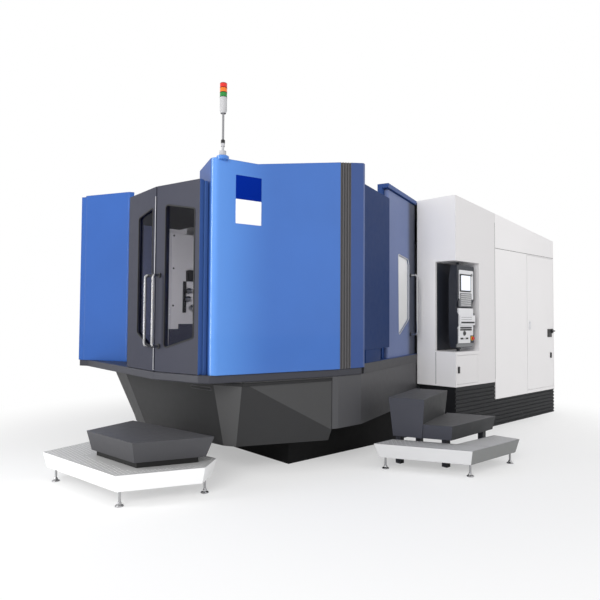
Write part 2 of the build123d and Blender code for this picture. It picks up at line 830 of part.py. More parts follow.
with BuildPart() as access_hatch:
    with BuildSketch(Plane.YZ.offset(BOX_FACE)):
        with Locations(((HATCH[0] + HATCH[1]) / 2, (HATCH[2] + HATCH[3]) / 2)):
            RectangleRounded(HATCH[1] - HATCH[0], HATCH[3] - HATCH[2], 8)
    extrude(amount=-HATCH_THICK)
    with BuildSketch(Plane.YZ.offset(BOX_FACE)):
        with Locations((659, 830)):
            RectangleRounded(26, 84, 8)
    extrude(amount=14)
save(access_hatch, "access_hatch")

# Cabinets: two bays with a sloping top, the rear bay has a hinged door
CABINET_DOOR = (2556, 3440, 420, 2470)
CABINET_DOOR_THICK = 24
CABINET_CAVITY = 320
with BuildPart() as cabinet:
    with BuildSketch(Plane.XY.offset(CABINET_LOW)):
        with BuildLine():
            Polyline(
                (BOX_FACE, BOX_BACK + 6),
                (BOX_FACE, CABINET_BACK),
                (BOX_FACE - CABINET_DEPTH, CABINET_BACK),
                (BOX_FACE - CABINET_DEPTH, BOX_BACK + 6),
                close=True,
            )
        make_face()
    extrude(amount=WHITE_HIGH - CABINET_LOW)
    add(space_above([(0, WHITE_HIGH), (BOX_FRONT, WHITE_HIGH), (4000, WHITE_HIGH - WHITE_SLOPE * 3400)]),
        mode=Mode.SUBTRACT)
    with BuildSketch(Plane.YZ.offset(BOX_FACE)):
        with Locations(((CABINET_DOOR[0] + CABINET_DOOR[1]) / 2, (CABINET_DOOR[2] + CABINET_DOOR[3]) / 2)):
            Rectangle(CABINET_DOOR[1] - CABINET_DOOR[0] + 6, CABINET_DOOR[3] - CABINET_DOOR[2] + 6)
    extrude(amount=-CABINET_DOOR_THICK, mode=Mode.SUBTRACT)
    with BuildSketch(Plane.YZ.offset(BOX_FACE)):
        with Locations(((CABINET_DOOR[0] + CABINET_DOOR[1]) / 2, (CABINET_DOOR[2] + CABINET_DOOR[3]) / 2)):
            Rectangle(CABINET_DOOR[1] - CABINET_DOOR[0] - 70, CABINET_DOOR[3] - CABINET_DOOR[2] - 90)
    extrude(amount=-CABINET_CAVITY, mode=Mode.SUBTRACT)
    # Shadow joints between the bays and under the top panel
    with BuildSketch(Plane.YZ.offset(BOX_FACE)):
        with Locations(((BOX_BACK + CABINET_BACK) / 2, SEAM_Z)):
            Rectangle(CABINET_BACK - BOX_BACK, 6)
        with Locations((2548, (CABINET_LOW + SEAM_Z) / 2)):
            Rectangle(6, SEAM_Z - CABINET_LOW)
    extrude(amount=-10, mode=Mode.SUBTRACT)
save(cabinet, "cabinet")

with BuildPart() as cabinet_door:
    with BuildSketch(Plane.YZ.offset(BOX_FACE)):
        with Locations(((CABINET_DOOR[0] + CABINET_DOOR[1]) / 2, (CABINET_DOOR[2] + CABINET_DOOR[3]) / 2)):
            RectangleRounded(CABINET_DOOR[1] - CABINET_DOOR[0], CABINET_DOOR[3] - CABINET_DOOR[2], 6)
    extrude(amount=-CABINET_DOOR_THICK)
    # Lock boss under the main switch
    with BuildSketch(Plane.YZ.offset(BOX_FACE)):
        with Locations((3341, 918)):
            RectangleRounded(30, 60, 8)
    extrude(amount=14)
save(cabinet_door, "cabinet_door")

SWITCH = (3390, 1305)
with BuildPart() as main_switch:
    with BuildSketch(Plane.YZ.offset(BOX_FACE)):
        with Locations(SWITCH):
            Circle(36)
    extrude(amount=16)
    with BuildSketch(Plane.YZ.offset(BOX_FACE + 16)):
        with Locations(SWITCH):
            SlotOverall(70, 20)
    extrude(amount=26)
save(main_switch, "main_switch")

with BuildPart() as cabinet_handle:
    with BuildSketch(Plane.YZ.offset(BOX_FACE)):
        with Locations((2612, 1400)):
            RectangleRounded(34, 130, 14)
    extrude(amount=12)
    with BuildSketch(Plane.YZ.offset(BOX_FACE + 12)):
        with Locations((2612, 1400)):
            SlotOverall(110, 20, rotation=90)
    extrude(amount=12)
save(cabinet_handle, "cabinet_handle")

# Ribbed plinth: dark sheet with level grooves under the control box and the cabinets
RIB_PITCH = 52
GROOVE = 16
GROOVE_DEEP = 12


def ribbed_base(front, back, high, depth):
    """A plinth block with level grooves in its outer face."""
    with BuildPart() as base:
        with BuildSketch():
            with BuildLine():
                Polyline(
                    (BOX_FACE - 6, front),
                    (BOX_FACE - 6, back),
                    (BOX_FACE - depth, back),
                    (BOX_FACE - depth, front),
                    close=True,
                )
            make_face()
        extrude(amount=high)
        for i in range(1, int(high / RIB_PITCH) + 1):
            with BuildSketch(Plane.XZ.offset(-front + 1)):
                with Locations((BOX_FACE - 6, i * RIB_PITCH - 20)):
                    Rectangle(2 * GROOVE_DEEP, GROOVE)
            extrude(amount=-(back - front + 2), mode=Mode.SUBTRACT)
    return base.part


with BuildPart() as ribbed_plinth:
    add(ribbed_base(BOX_FRONT + 4, BOX_BACK, BOX_LOW, BOX_DEPTH - 6))
    add(ribbed_base(BOX_BACK, CABINET_BACK - 4, CABINET_LOW, CABINET_DEPTH - 6))
save(ribbed_plinth, "ribbed_plinth")

# Signal tower: base, pole, clip and lamp body on the crest of the right housing
TOWER = (1112, -2870)
TOWER_PROFILE = [
    (2885, 38),
    (2900, 38),
    (2900, 30),
    (2952, 30),
    (2952, 11),
    (2992, 11),
    (2992, 17),
    (3046, 17),
    (3046, 10),
    (3289, 10),
    (3289, 24),
    (3315, 32),
    (3433, 32),
]
with BuildPart() as signal_tower:
    with BuildSketch(Plane(origin=(*TOWER, 0), x_dir=(1, 0, 0), z_dir=(0, -1, 0))):
        with BuildLine():
            Polyline(
                (0, TOWER_PROFILE[0][0]),
                *[(r, z) for z, r in TOWER_PROFILE],
                (0, TOWER_PROFILE[-1][0]),
                close=True,
            )
        make_face()
    revolve(axis=Axis((*TOWER, 0), (0, 0, 1)))
save(signal_tower, "signal_tower")

LAMP_LOW = 3433
LAMP_EACH = 42
with BuildPart() as signal_lamps:
    for i in range(3):
        with BuildSketch(Plane.XY.offset(LAMP_LOW + i * LAMP_EACH)):
            with Locations(TOWER):
                Circle(29)
        extrude(amount=LAMP_EACH)
        with BuildSketch(Plane.XY.offset(LAMP_LOW + i * LAMP_EACH + 3)):
            with Locations(TOWER):
                Circle(32)
        extrude(amount=LAMP_EACH - 6)
save(signal_lamps, "signal_lamps")

# Setup station buttons on the blue return: a mushroom stop and three push buttons
return_angle = heading(RETURN_START, FRONT_CORNER)
return_plane = wall_plane(RETURN_START, return_angle)
with BuildPart() as setup_stop:
    with BuildSketch(return_plane.offset(-STEM_IN)):
        with Locations((BUTTON_X, STOP_Z)):
            Circle(STOP_STEM)
    extrude(amount=STEM_IN + 22)
    with BuildSketch(return_plane.offset(22)):
        with Locations((BUTTON_X, STOP_Z)):
            Circle(21)
    extrude(amount=16)
    fillet(setup_stop.edges().group_by(Axis((0, 0, 0), tuple(return_plane.z_dir)))[-1], 6)
save(setup_stop, "setup_stop")

for number, z in enumerate(BUTTON_Z, start=1):
    with BuildPart() as setup_button:
        with BuildSketch(return_plane.offset(-STEM_IN)):
            with Locations((BUTTON_X, z)):
                Circle(BUTTON_RADIUS)
        extrude(amount=STEM_IN + 12)
    save(setup_button, f"setup_button_{number}")

# Pendant: the swivelling control panel in the niche, with a wavy side profile
PENDANT_PIVOT = (1120, 862)
PENDANT_HALF = 202
KNOB = (PENDANT_PIVOT[1] - 60, 1300)
STOP = (PENDANT_PIVOT[1] + 130, 1230)
PENDANT_LOW = 1112
PENDANT_TOP = 2190
PENDANT_FACE = 1236
KEY_FACE = 1246
with BuildPart() as pendant:
    with BuildSketch(Plane.XZ.offset(-(PENDANT_PIVOT[1] - PENDANT_HALF))):
        with BuildLine():
            Line((PENDANT_FACE, PENDANT_TOP), (PENDANT_FACE, 1740))
            Spline((PENDANT_FACE, 1740), (1208, 1640), (KEY_FACE, 1548))
            Line((KEY_FACE, 1548), (KEY_FACE, 1392))
            Spline((KEY_FACE, 1392), (1230, 1372), (PENDANT_FACE, 1350))
            Polyline(
                (PENDANT_FACE, 1350),
                (PENDANT_FACE, 1180),
                (1208, PENDANT_LOW),
                (1130, PENDANT_LOW),
                (1110, 1300),
                (1110, 2000),
                (1140, PENDANT_TOP),
                (PENDANT_FACE, PENDANT_TOP),
            )
        make_face()
    extrude(amount=-2 * PENDANT_HALF)
    with BuildSketch(Plane.XY.offset(NICHE_LOW)):
        with Locations(PENDANT_PIVOT):
            Circle(22)
    extrude(amount=NICHE_HIGH - NICHE_LOW)
    with BuildSketch(Plane.YZ.offset(PENDANT_FACE + 10)):
        with Locations(STOP):
            Circle(STOP_STEM + RUNNING_GAP)
    extrude(amount=-STEM_BORE - 10, mode=Mode.SUBTRACT)
save(pendant, "pendant")

# Face of the pendant: screen, soft keys, keypad and the row of controls, one thin plate
with BuildPart() as pendant_face:
    with BuildSketch(Plane.YZ.offset(PENDANT_FACE)):
        with Locations((PENDANT_PIVOT[1], 1935)):
            RectangleRounded(330, 380, 12)
    extrude(amount=12)
save(pendant_face, "pendant_face")

with BuildPart() as pendant_keys:
    with BuildSketch(Plane.YZ.offset(KEY_FACE)):
        with Locations((PENDANT_PIVOT[1], 1470)):
            RectangleRounded(360, 130, 10)
    extrude(amount=22)
save(pendant_keys, "pendant_keys")

with BuildPart() as pendant_knob:
    with BuildSketch(Plane.YZ.offset(PENDANT_FACE)):
        with Locations(KNOB):
            Circle(24)
    extrude(amount=26)
save(pendant_knob, "pendant_knob")

with BuildPart() as pendant_stop:
    with BuildSketch(Plane.YZ.offset(PENDANT_FACE - STEM_IN)):
        with Locations(STOP):
            Circle(STOP_STEM)
    extrude(amount=STEM_IN + 22)
    with BuildSketch(Plane.YZ.offset(PENDANT_FACE + 22)):
        with Locations(STOP):
            Circle(21)
    extrude(amount=16)
save(pendant_stop, "pendant_stop")

# Access platforms: folded sheet trays on studs, and dark step boxes
PLATFORM_HIGH = 250
PLATFORM_SIDE = 135
PLATFORM_SHEET = 8
FRONT_PLATFORM = [(-130, -3950), (1020, -3760), (1260, -3100), (1070, -2872), (-389, -3113)]
SIDE_PLATFORM = [
    (1585, -1380),
    (2390, -920),
    (2420, -70),
    (2151, -95),
    (2128, -767),
    (1580, -1080),
]
FRONT_FEET = [(-13, -3869), (985, -3705), (1131, -3024), (-300, -3190)]
SIDE_FEET = [(1640, -1268), (2336, -872), (2348, -134)]


def tray(points):
    """A platform: a tray with its open side down, its skirt leaning in."""
    with BuildPart() as platform:
        with BuildSketch(Plane.XY.offset(PLATFORM_HIGH)):
            with BuildLine():
                Polyline(*points, close=True)
            make_face()
        extrude(amount=-PLATFORM_SIDE, taper=12)
        offset(amount=-PLATFORM_SHEET, openings=platform.faces().sort_by(Axis.Z)[0])
    return platform


platform_front = tray(FRONT_PLATFORM)
save(platform_front, "platform_front")
platform_side = tray(SIDE_PLATFORM)
save(platform_side, "platform_side")

with BuildPart() as platform_feet:
    for x, y in FRONT_FEET + SIDE_FEET:
        with BuildSketch():
            with Locations((x, y)):
                Circle(34)
        extrude(amount=10)
        with BuildSketch(Plane.XY.offset(10)):
            with Locations((x, y)):
                Circle(10)
        extrude(amount=PLATFORM_HIGH - PLATFORM_SHEET - 10)
save(platform_feet, "platform_feet")

FRONT_STEP = [(250, -3700), (970, -3600), (1183, -2967), (58, -3181)]
FRONT_STEP_TOP = 470
TOE_HIGH = 50
with BuildPart() as step_front:
    with BuildSketch(Plane.XY.offset(FRONT_STEP_TOP)):
        with BuildLine():
            Polyline(*FRONT_STEP, close=True)
        make_face()
    extrude(amount=PLATFORM_HIGH + TOE_HIGH - FRONT_STEP_TOP, taper=12)
    with BuildSketch(Plane.XY.offset(PLATFORM_HIGH)):
        with BuildLine():
            Polyline(*FRONT_STEP, close=True)
        make_face()
        offset(amount=-70, mode=Mode.REPLACE)
    extrude(amount=TOE_HIGH)
save(step_front, "step_front")

SIDE_STEP_LOW = 290
SIDE_STEP_MID = 430
SIDE_STEP_TOP = 680
TALL_STEP = [(1574, -1140), (1907, -995), (1644, -191), (1311, -336)]
LOW_STEP = [(1850, -990), (2130, -850), (2100, 30), (1644, -191)]
SIDE_LEGS = [(1600, -990), (1430, -420), (1995, -755), (2000, -80)]
with BuildPart() as step_side:
    with BuildSketch(Plane.XY.offset(SIDE_STEP_TOP)):
        with BuildLine():
            Polyline(*TALL_STEP, close=True)
        make_face()
    extrude(amount=SIDE_STEP_LOW - SIDE_STEP_TOP, taper=5)
    with BuildSketch(Plane.XY.offset(SIDE_STEP_MID)):
        with BuildLine():
            Polyline(*LOW_STEP, close=True)
        make_face()
    extrude(amount=SIDE_STEP_LOW - SIDE_STEP_MID, taper=8)
    for x, y in SIDE_LEGS:
        with BuildSketch():
            with Locations((x, y)):
                Rectangle(60, 60)
        extrude(amount=SIDE_STEP_LOW + 5)
save(step_side, "step_side")

# Table: saddle on the bed rails, turning drum and the work pallet
SADDLE_TOP = 960
DRUM_RADIUS = 200
with BuildPart() as saddle:
    with BuildSketch(Plane.XY.offset(BED_TOP + RAIL_HIGH)):
        with Locations((CENTRE_X, TABLE_Y)):
            RectangleRounded(540, 560, 30)
    extrude(amount=SADDLE_TOP - BED_TOP - RAIL_HIGH)
    with BuildSketch(Plane.XY.offset(BED_TOP + RAIL_HIGH)):
        with Locations((CENTRE_X, TABLE_Y)):
            Rectangle(240, 600)
    extrude(amount=40, mode=Mode.SUBTRACT)
save(saddle, "saddle")

with BuildPart() as rotary_table:
    with BuildSketch(Plane.XY.offset(SADDLE_TOP)):
        with Locations((CENTRE_X, TABLE_Y)):
            Circle(DRUM_RADIUS)
    extrude(amount=70)
    with BuildSketch(Plane.XY.offset(SADDLE_TOP + 70)):
        with Locations((CENTRE_X, TABLE_Y)):
            Circle(DRUM_RADIUS - 20)
    extrude(amount=PALLET_LOW - SADDLE_TOP - 70)
save(rotary_table, "rotary_table")

PALLET_HOLES = 400
PALLET_HOLE_RADIUS = 8


def pallet(y, low):
    """A square machine pallet with chamfered corners and four tapped corner holes."""
    with BuildPart() as plate:
        with BuildSketch(Plane.XY.offset(low)):
            with Locations((CENTRE_X, y)):
                Rectangle(PALLET, PALLET)
            chamfer(vertices(), 30)
            with Locations((CENTRE_X, y)):
                with GridLocations(PALLET_HOLES, PALLET_HOLES, 2, 2):
                    Circle(PALLET_HOLE_RADIUS, mode=Mode.SUBTRACT)
        extrude(amount=PALLET_THICK)
    return plate


work_pallet = pallet(TABLE_Y, PALLET_LOW)
save(work_pallet, "work_pallet")

# Pallet changer: a fork at each end of a turning arm, with the divider plate across it
FORK_LOW = 1000
FORK_TOP = 1050
FORK_REACH = 1075
FORK_HALF = 275
FORK_GAP = 215
FORK_ROOT = 330
HUB_RADIUS = 180
with BuildPart() as changer:
    with BuildSketch(Plane.XY.offset(FORK_LOW)):
        with Locations((CENTRE_X, PIVOT_Y)):
            Rectangle(2 * FORK_HALF, 2 * FORK_REACH)
        for side in (-1, 1):
            with Locations((CENTRE_X, PIVOT_Y + side * (FORK_ROOT + FORK_REACH) / 2)):
                Rectangle(2 * FORK_GAP, FORK_REACH - FORK_ROOT + 2, mode=Mode.SUBTRACT)
    extrude(amount=FORK_TOP - FORK_LOW)
    with BuildSketch(Plane.XY.offset(POST_HIGH)):
        with Locations((CENTRE_X, PIVOT_Y)):
            Circle(HUB_RADIUS)
    extrude(amount=FORK_LOW - POST_HIGH)
save(changer, "changer")

DIVIDER_HALF = 870
DIVIDER_HIGH = 2350
with BuildPart() as divider:
    with BuildSketch(Plane.XZ.offset(-PIVOT_Y - 20)):
        with Locations((CENTRE_X, (FORK_TOP + DIVIDER_HIGH) / 2)):
            RectangleRounded(2 * DIVIDER_HALF, DIVIDER_HIGH - FORK_TOP, 20)
    extrude(amount=40)
save(divider, "divider")

setup_pallet = pallet(SETUP_Y, FORK_TOP)
save(setup_pallet, "setup_pallet")

# Column: a portal casting that slides on the cross bed, open for the spindle head
COLUMN_WINDOW = 205
WINDOW_LOW = 1040
WINDOW_HIGH = 2500
COLUMN_RAIL_X = 290
HEAD_RAIL_DEEP = 40
with BuildPart() as column:
    with BuildSketch(Plane.XZ.offset(-COLUMN_FRONT)):
        with BuildLine():
            Polyline(
                (CENTRE_X - COLUMN_WIDTH / 2, BED_TOP + RAIL_HIGH),
                (CENTRE_X + COLUMN_WIDTH / 2, BED_TOP + RAIL_HIGH),
                (CENTRE_X + COLUMN_WIDTH / 2, COLUMN_HIGH - 120),
                (CENTRE_X + COLUMN_WIDTH / 2 - 120, COLUMN_HIGH),
                (CENTRE_X - COLUMN_WIDTH / 2 + 120, COLUMN_HIGH),
                (CENTRE_X - COLUMN_WIDTH / 2, COLUMN_HIGH - 120),
                close=True,
            )
        make_face()
        with Locations((CENTRE_X, (WINDOW_LOW + WINDOW_HIGH) / 2)):
            RectangleRounded(2 * COLUMN_WINDOW, WINDOW_HIGH - WINDOW_LOW, 60, mode=Mode.SUBTRACT)
    extrude(amount=-COLUMN_DEPTH)
    with BuildSketch(Plane.XZ.offset(-COLUMN_FRONT)):
        for side in (-1, 1):
            with Locations((CENTRE_X + side * COLUMN_RAIL_X, (WINDOW_LOW + WINDOW_HIGH) / 2)):
                Rectangle(55, WINDOW_HIGH - WINDOW_LOW)
    extrude(amount=HEAD_RAIL_DEEP)
save(column, "column")

# Spindle head: a slide plate on the column's rails and a ram through its window
HEAD_PLATE = 60
head_face = COLUMN_FRONT - HEAD_RAIL_DEEP - HEAD_PLATE
SPINDLE_RADIUS = 95
with BuildPart() as spindle_head:
    with BuildSketch(Plane.XZ.offset(-head_face)):
        with Locations((CENTRE_X, SPINDLE_Z)):
            RectangleRounded(700, 520, 30)
    extrude(amount=-HEAD_PLATE)
    with BuildSketch(Plane.XZ.offset(-head_face - HEAD_PLATE)):
        with Locations((CENTRE_X, SPINDLE_Z)):
            RectangleRounded(370, 380, 40)
    extrude(amount=-760)
    with BuildSketch(Plane.XZ.offset(-head_face)):
        with Locations((CENTRE_X, SPINDLE_Z)):
            Circle(150)
    extrude(amount=25)
    with BuildSketch(Plane.XZ.offset(-head_face + 30)):
        with Locations((CENTRE_X, SPINDLE_Z)):
            Circle(SPINDLE_RADIUS + 0.05)
    extrude(amount=-1000, mode=Mode.SUBTRACT)
save(spindle_head, "spindle_head")

with BuildPart() as spindle:
    with BuildSketch(Plane(origin=(CENTRE_X, SPINDLE_FACE_Y, SPINDLE_Z), x_dir=(1, 0, 0), z_dir=(0, 0, 1))):
        with BuildLine():
            Polyline(
                (35, 0),
                (88, 0),
                (SPINDLE_RADIUS, 8),
                (SPINDLE_RADIUS, 820),
                (0, 820),
                (0, 105),
                (20, 100),
                close=True,
            )
        make_face()
    revolve(axis=Axis((CENTRE_X, SPINDLE_FACE_Y, SPINDLE_Z), (0, 1, 0)))
save(spindle, "spindle")

# Tool magazine: a disc with pots, turning on an axle in the left bay, and its tools
DISC_RADIUS = 690
POT_RADIUS = 56
magazine_plane = Plane(origin=(MAGAZINE_X, MAGAZINE_Y, MAGAZINE_Z), x_dir=(0, 1, 0), z_dir=(1, 0, 0))
with BuildPart() as magazine_disc:
    with BuildSketch(magazine_plane.offset(-70)):
        Circle(DISC_RADIUS)
        with PolarLocations(MAGAZINE_RADIUS - 290, 6):
            Circle(120, mode=Mode.SUBTRACT)
    extrude(amount=40)
    with BuildSketch(magazine_plane.offset(-30)):
        with PolarLocations(MAGAZINE_RADIUS, TOOL_COUNT):
            Circle(POT_RADIUS)
    extrude(amount=70)
    with BuildSketch(magazine_plane.offset(-70)):
        Circle(90)
    extrude(amount=-(MAGAZINE_X - 70 - (BUMP_X + COVER_WALL)))
save(magazine_disc, "magazine_disc")

with BuildPart() as magazine_tools:
    with BuildSketch(magazine_plane.offset(40)):
        with PolarLocations(MAGAZINE_RADIUS, TOOL_COUNT):
            Circle(49)
    extrude(amount=36)
    with BuildSketch(magazine_plane.offset(76)):
        with PolarLocations(MAGAZINE_RADIUS, TOOL_COUNT):
            Circle(30)
    extrude(amount=50)
save(magazine_tools, "magazine_tools")
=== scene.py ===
# Horizontal machining center: the finishes, panes, controls and small fittings of the machine.
# Metres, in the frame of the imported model. +X is the machine's right, +Y its back, +Z up.

import math

import bpy
import numpy as np
from mathutils import Matrix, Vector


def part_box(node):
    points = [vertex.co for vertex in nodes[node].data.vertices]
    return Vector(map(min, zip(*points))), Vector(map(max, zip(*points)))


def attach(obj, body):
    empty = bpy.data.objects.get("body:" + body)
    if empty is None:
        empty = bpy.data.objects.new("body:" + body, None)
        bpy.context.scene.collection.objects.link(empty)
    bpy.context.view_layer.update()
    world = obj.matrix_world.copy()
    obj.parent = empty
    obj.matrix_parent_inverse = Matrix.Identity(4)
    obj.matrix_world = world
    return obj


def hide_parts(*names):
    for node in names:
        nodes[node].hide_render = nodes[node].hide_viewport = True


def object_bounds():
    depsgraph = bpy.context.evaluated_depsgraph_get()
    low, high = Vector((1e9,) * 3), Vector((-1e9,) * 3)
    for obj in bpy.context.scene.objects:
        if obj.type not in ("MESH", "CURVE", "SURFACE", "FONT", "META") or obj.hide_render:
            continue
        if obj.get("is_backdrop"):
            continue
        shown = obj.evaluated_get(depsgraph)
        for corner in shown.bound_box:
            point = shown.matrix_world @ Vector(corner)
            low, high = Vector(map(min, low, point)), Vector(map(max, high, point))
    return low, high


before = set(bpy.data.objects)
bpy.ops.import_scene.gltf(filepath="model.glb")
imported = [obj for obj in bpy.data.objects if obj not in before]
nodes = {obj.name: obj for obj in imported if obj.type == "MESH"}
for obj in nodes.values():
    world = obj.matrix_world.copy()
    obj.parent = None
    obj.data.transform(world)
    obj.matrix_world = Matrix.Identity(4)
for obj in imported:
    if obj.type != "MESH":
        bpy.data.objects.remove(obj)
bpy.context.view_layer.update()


# The studio: a pale floor that runs out to white, a soft white surround and two large soft lamps.
# A tall narrow lamp at the front draws the bright line on the rounded corners of the housings.
FLOOR_HALF = 40.0
FLOOR_CENTRE = (0.4, -0.8)
FADE_NEAR, FADE_FAR, FADE_LEAST = 3.0, 5.6, 0.42
FLOOR_PALE = 0.93
SURROUND_DIFFUSE = 0.62


def link_to(owner, *pairs):
    """Joins node sockets, each pair an output and the input that it feeds."""
    for source, target in pairs:
        owner.node_tree.links.new(source, target)


def node(owner, kind, **values):
    """A new node of a material or the world; each value goes to the input of its name."""
    made = owner.node_tree.nodes.new("ShaderNode" + kind)
    for name, value in values.items():
        made.inputs[name.replace("_", " ")].default_value = value
    return made


def placed(owner):
    """The place of a point in the piece's own axes, in metres."""
    return node(owner, "TexCoord").outputs["Object"]


def stepped(owner, value, start, finish, low=0.0, high=1.0, smooth=False):
    """A number that runs from low to high while a value runs from start to finish."""
    step = node(owner, "MapRange", From_Min=start, From_Max=finish, To_Min=low, To_Max=high)
    step.interpolation_type = "SMOOTHSTEP" if smooth else "LINEAR"
    link_to(owner, (value, step.inputs["Value"]))
    return step.outputs["Result"]


def combined(owner, operation, first, second):
    """Two values made into one by a named operation."""
    step = node(owner, "Math")
    step.operation = operation
    link_to(owner, (first, step.inputs[0]), (second, step.inputs[1]))
    return step.outputs["Value"]


def floor_finish():
    """White matt floor that fades to plain white with the distance from the machine."""
    material = bpy.data.materials.new("studio_floor")
    material.use_nodes = True
    made = material.node_tree.nodes
    made.remove(made["Principled BSDF"])
    matt = node(material, "BsdfDiffuse", Color=(FLOOR_PALE, FLOOR_PALE, FLOOR_PALE, 1))
    white = node(material, "Emission")
    reach = node(material, "VectorMath")
    reach.operation = "DISTANCE"
    reach.inputs[1].default_value = (*FLOOR_CENTRE, 0)
    link_to(material, (placed(material), reach.inputs[0]))
    fade = stepped(material, reach.outputs["Value"], FADE_NEAR, FADE_FAR, FADE_LEAST, smooth=True)
    path = node(material, "LightPath")
    mix = node(material, "MixShader")
    link_to(
        material,
        (combined(material, "MULTIPLY", fade, path.outputs["Is Camera Ray"]), mix.inputs["Fac"]),
        (matt.outputs["BSDF"], mix.inputs[1]),
        (white.outputs["Emission"], mix.inputs[2]),
        (mix.outputs["Shader"], made["Material Output"].inputs["Surface"]),
    )
    return material


corner_signs = np.array([[-1, -1], [1, -1], [1, 1], [-1, 1]], float)
floor_points = np.zeros((4, 3))
floor_points[:, :2] = corner_signs * FLOOR_HALF + FLOOR_CENTRE
floor_mesh = bpy.data.meshes.new("studio_floor")
floor_mesh.from_pydata(floor_points.tolist(), [], [(0, 1, 2, 3)])
floor = bpy.data.objects.new("studio_floor", floor_mesh)
bpy.context.scene.collection.objects.link(floor)
floor_mesh.materials.append(floor_finish())
floor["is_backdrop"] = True

world = bpy.data.worlds.new("studio")
bpy.context.scene.world = world
world.use_nodes = True
plain = world.node_tree.nodes["Background"]
plain.inputs["Color"].default_value = (1, 1, 1, 1)
ray = node(world, "LightPath").outputs
seen_white = combined(world, "MAXIMUM", ray["Is Camera Ray"], ray["Is Glossy Ray"])
seen_through = combined(world, "MAXIMUM", seen_white, ray["Is Transmission Ray"])
strength = stepped(world, seen_through, 0.0, 1.0, SURROUND_DIFFUSE)
link_to(world, (strength, plain.inputs["Strength"]))


def soft_lamp(name, place, target, size, power):
    """A rectangular lamp that looks from its place at its target."""
    data = bpy.data.lights.new(name, "AREA")
    data.shape = "RECTANGLE"
    data.size, data.size_y = size
    data.energy = power
    lamp = bpy.data.objects.new(name, data)
    bpy.context.scene.collection.objects.link(lamp)
    aim = np.array(target, float) - np.array(place, float)
    aim /= np.linalg.norm(aim)
    side = np.cross(aim, (0, 0, 1))
    side /= np.linalg.norm(side)
    head = np.cross(side, aim)
    turn = np.eye(4)
    turn[:3, 0], turn[:3, 1], turn[:3, 2], turn[:3, 3] = side, head, -aim, place
    lamp.matrix_world = Matrix(turn.tolist())
    return lamp


key_lamp = soft_lamp("key_lamp", (5.6, -10.2, 5.2), (0.8, -1.5, 1.4), size=(5.0, 4.0), power=470)
right_lamp = soft_lamp("right_lamp", (10.0, 2.5, 4.8), (1.2, 1.6, 1.5), size=(6.0, 4.0), power=165)
key_lamp.visible_glossy = right_lamp.visible_glossy = False
soft_lamp("strip_lamp", (-0.30, -5.75, 2.1), (1.1, -3.0, 1.9), size=(0.22, 3.6), power=42)

EYE = (5.1141, -5.4894, 1.47)
LENS_MM, FILM_MM = 32.4, 36.0
YAW, PITCH, ROLL = math.radians(48.475), math.radians(2.028), math.radians(0.380)
ahead = np.array(
    [-math.sin(YAW) * math.cos(PITCH), math.cos(YAW) * math.cos(PITCH), math.sin(PITCH)]
)
level = np.array([math.cos(YAW), math.sin(YAW), 0.0])
head = np.cross(level, ahead)
pose = np.eye(4)
pose[:3, 0] = math.cos(ROLL) * level + math.sin(ROLL) * head
pose[:3, 1] = -math.sin(ROLL) * level + math.cos(ROLL) * head
pose[:3, 2] = -ahead
pose[:3, 3] = EYE
lens = bpy.data.cameras.new("camera")
lens.lens, lens.sensor_width = LENS_MM, FILM_MM
camera = bpy.data.objects.new("camera", lens)
bpy.context.scene.collection.objects.link(camera)
camera.matrix_world = Matrix(pose.tolist())
bpy.context.scene.camera = camera
bpy.context.scene.view_settings.view_transform = "Standard"


# Blue housings: folded sheet steel with rounded corners, sprayed azure and stoved.
# The paint has a faint peel and a clear gloss, and its colour clouds a little over a large panel.
AZURE = (0.038, 0.142, 0.480)
EDGE_ROUND = 0.004
COAT_ROUGH, PEEL_STRENGTH = 0.08, 0.5
CLOUD_CELLS, CLOUD_DETAIL, CLOUD_STOPS = 1.1, 3.0, (0.3, 0.7)
GLOSS_CELLS, GLOSS_DETAIL, GLOSS_SWING = 14.0, 5.0, (0.88, 1.14)


def shaded(name):
    """A new material and the inputs of its shader."""
    material = bpy.data.materials.new(name)
    material.use_nodes = True
    return material, material.node_tree.nodes["Principled BSDF"].inputs


def noise(material, place, scale, detail=2.0):
    """A noise over the piece, its scale in cells to the metre."""
    grain = node(material, "TexNoise", Scale=scale, Detail=detail)
    link_to(material, (place, grain.inputs["Vector"]))
    return grain.outputs["Fac"]


def toned(material, value, stops, kind="LINEAR"):
    """A colour that follows a value over stops, each a position from 0 to 1 and a colour."""
    tone = node(material, "ValToRGB")
    ramp = tone.color_ramp
    ramp.interpolation = kind
    ramp.elements.remove(ramp.elements[1])
    ramp.elements[0].position = stops[0][0]
    ramp.elements[0].color = (*stops[0][1], 1)
    for position, colour in stops[1:]:
        ramp.elements.new(position).color = (*colour, 1)
    link_to(material, (value, tone.inputs["Fac"]))
    return tone.outputs["Color"]


def bumped(material, height, strength, depth):
    """The node that lifts the surface by a height."""
    bump = node(material, "Bump", Strength=strength, Distance=depth)
    link_to(material, (height, bump.inputs["Height"]))
    return bump


